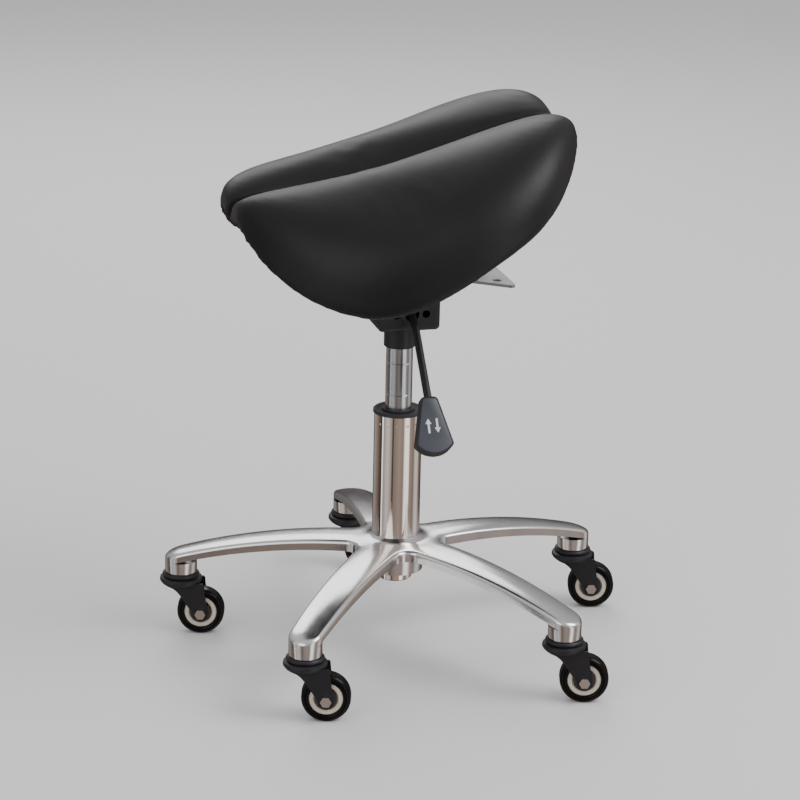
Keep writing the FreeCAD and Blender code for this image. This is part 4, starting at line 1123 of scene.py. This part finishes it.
@dataclass
class Studio:
    """Camera at the photographed angle, plain pale floor and soft lights."""

    camera_at: Vector = field(default_factory=lambda: Vector((2.9574, -0.7924, 1.2388)))
    turn: float = math.radians(75.0)
    swing: float = math.radians(0.03)
    dip: float = 0.3072
    roll: float = 0.0226
    focal_pixels: float = 3095.9
    picture: float = 800.0
    centre_drop: float = 1.33
    sensor: float = 36.0
    floor_half: float = 6.0
    ceiling: tuple[float, ...] = (0.80, 0.80, 0.82, 1.0)
    backdrop: tuple[float, ...] = (1.05, 1.05, 1.06, 1.0)
    room_strength: float = 0.9
    aim: Vector = field(default_factory=lambda: Vector((0.0, 0.0, 0.35)))

    def camera(self) -> None:
        """Place the camera by its heading, dip and roll."""
        heading = self.turn - self.swing
        ahead = Vector((-math.sin(heading) * math.cos(self.dip), math.cos(heading) * math.cos(self.dip),
                        -math.sin(self.dip)))
        right = Vector((math.cos(heading), math.sin(heading), 0))
        above = right.cross(ahead)
        level = right * math.cos(self.roll) + above * math.sin(self.roll)
        upright = above * math.cos(self.roll) - right * math.sin(self.roll)
        lens = bpy.data.cameras.new("camera")
        lens.sensor_width = self.sensor
        lens.lens = self.focal_pixels / self.picture * self.sensor
        lens.shift_y = self.centre_drop / self.picture
        lens.clip_end = 50.0
        viewer = bpy.data.objects.new("camera", lens)
        viewer.matrix_world = axes_at(self.camera_at, level, upright, -ahead)
        bpy.context.scene.collection.objects.link(viewer)
        bpy.context.scene.camera = viewer

    def floor(self) -> None:
        """Wide pale floor that glossy surfaces look through to the room."""
        mesh = bpy.data.meshes.new("floor")
        half = self.floor_half
        mesh.from_pydata([(-half, -half, 0), (half, -half, 0), (half, half, 0), (-half, half, 0)], [],
                         [(0, 1, 2, 3)])
        piece = new_piece("floor", mesh)
        shader = Shader("pale_floor")
        shader.surface_is(Base_Color=(0.90, 0.90, 0.90, 1.0), Roughness=0.7, Specular_IOR_Level=0.1)
        clear = shader.add("BsdfTransparent")
        path = shader.add("LightPath")
        mix = shader.add("MixShader")
        link = shader.tree.links.new
        link(path.outputs["Is Glossy Ray"], mix.inputs[0])
        link(shader.surface.outputs[0], mix.inputs[1])
        link(clear.outputs[0], mix.inputs[2])
        link(mix.outputs[0], shader.tree.nodes["Material Output"].inputs["Surface"])
        mesh.materials.append(shader.material)

    def lamp(self, name: str, place: tuple[float, float, float], size: float, power: float) -> None:
        """One soft square light that looks at the stool's middle."""
        light = bpy.data.lights.new(name, "AREA")
        light.shape = "SQUARE"
        light.size = size
        light.energy = power
        lamp = bpy.data.objects.new(name, light)
        lamp.location = Vector(place)
        lamp.rotation_mode = "QUATERNION"
        lamp.rotation_quaternion = (self.aim - lamp.location).to_track_quat("-Z", "Y")
        bpy.context.scene.collection.objects.link(lamp)

    def room(self) -> None:
        """Room light: bright above, warm below the horizon, with upright bands for the chrome."""
        world = bpy.data.worlds.new("room")
        bpy.context.scene.world = world
        world.use_nodes = True
        nodes = Nodes(world.node_tree)
        link = nodes.tree.links.new
        way = nodes.add("SeparateXYZ", Vector=nodes.add("TexCoord").outputs["Generated"]).outputs
        angle = nodes.add("Math")
        angle.operation = "ARCTAN2"
        link(way["Y"], angle.inputs[0])
        link(way["X"], angle.inputs[1])
        spread = nodes.add("MapRange", Value=angle.outputs[0], From_Min=-math.pi, From_Max=math.pi)
        height = nodes.add("MapRange", Value=way["Z"], From_Min=-1.0)
        mix = nodes.add("Mix")
        mix.data_type = "RGBA"
        nodes.feed(mix, "A", self.ceiling)
        nodes.feed(mix, "Factor", nodes.ramp(height.outputs["Result"], self.rise()))
        nodes.feed(mix, "B", nodes.ramp(spread.outputs["Result"], self.bands()))
        back = nodes.tree.nodes["Background"]
        nodes.feed(back, "Color", mix.outputs["Result"])
        nodes.feed(back, "Strength", self.room_strength)
        plain = nodes.add("Background", Color=self.backdrop)
        path = nodes.add("LightPath")
        choice = nodes.add("MixShader")
        link(path.outputs["Is Camera Ray"], choice.inputs[0])
        link(back.outputs[0], choice.inputs[1])
        link(plain.outputs[0], choice.inputs[2])
        link(choice.outputs[0], nodes.tree.nodes["World Output"].inputs["Surface"])

    def bands(self) -> Stops:
        """Upright light and dark bands round the room, as the outer tube mirrors them."""
        brown = (0.30, 0.225, 0.185)
        dark = (0.075, 0.065, 0.062)
        grey = (0.40, 0.375, 0.36)
        pink = (0.42, 0.35, 0.32)
        pale = (0.80, 0.78, 0.77)
        white = (1.7, 1.68, 1.66)
        across = [(-0.99, dark), (-0.93, grey), (-0.84, brown), (-0.70, dark), (-0.645, dark),
                  (-0.63, white), (-0.60, white), (-0.58, grey), (-0.40, pale), (-0.24, pink),
                  (-0.20, dark), (-0.165, dark), (-0.15, brown), (0.10, pink), (0.29, brown), (0.335, white),
                  (0.475, white), (0.51, pink), (0.68, brown), (0.75, pale), (0.84, pale), (0.89, brown),
                  (0.97, dark)]
        stops = []
        for screen, colour in across:
            heading = self.turn - math.pi / 2 + 2 * math.asin(screen)
            turned_to = (heading + math.pi) % (2 * math.pi) - math.pi
            stops.append(((turned_to + math.pi) / (2 * math.pi), colour))
        return sorted(stops)

    def rise(self) -> Stops:
        """Share of the bands by height: whole below the horizon, none in the bright ceiling."""
        return [(0.30, (1.0, 1.0, 1.0)), (0.52, (1.0, 1.0, 1.0)), (0.66, (0.62, 0.62, 0.62)),
                (0.90, (0.25, 0.25, 0.25))]

    def build(self) -> None:
        """Everything of the stage."""
        self.camera()
        self.floor()
        self.room()
        self.lamp("key", (1.2, 1.9, 2.3), 1.6, 46.0)
        self.lamp("fill", (2.2, -2.2, 1.5), 2.2, 22.0)
        self.lamp("back", (-2.4, 0.2, 2.0), 1.8, 26.0)


def dress_shown_nodes() -> None:
    """Give every CAD node that stays in view the finish of its slot."""
    by_slot = {finish.slot: finish for finish in SLOT_FINISHES}
    for row in frame["record"]["subparts"]:
        dress(frame["nodes"][row["node"]], by_slot[row["material_slot"]])


def main() -> None:
    """Build the classes in order."""
    logging.basicConfig(level=logging.INFO, format="%(name)s: %(message)s")
    Studio().build()
    dress_shown_nodes()
    for side in Side:
        half = SeatHalf(side)
        half.dress(half.build())
    Paddle().build()
    Star().build()
    Column().build()
    for number in range(1, CASTERS + 1):
        Caster(number).build()


if __name__ == "__main__":
    main()
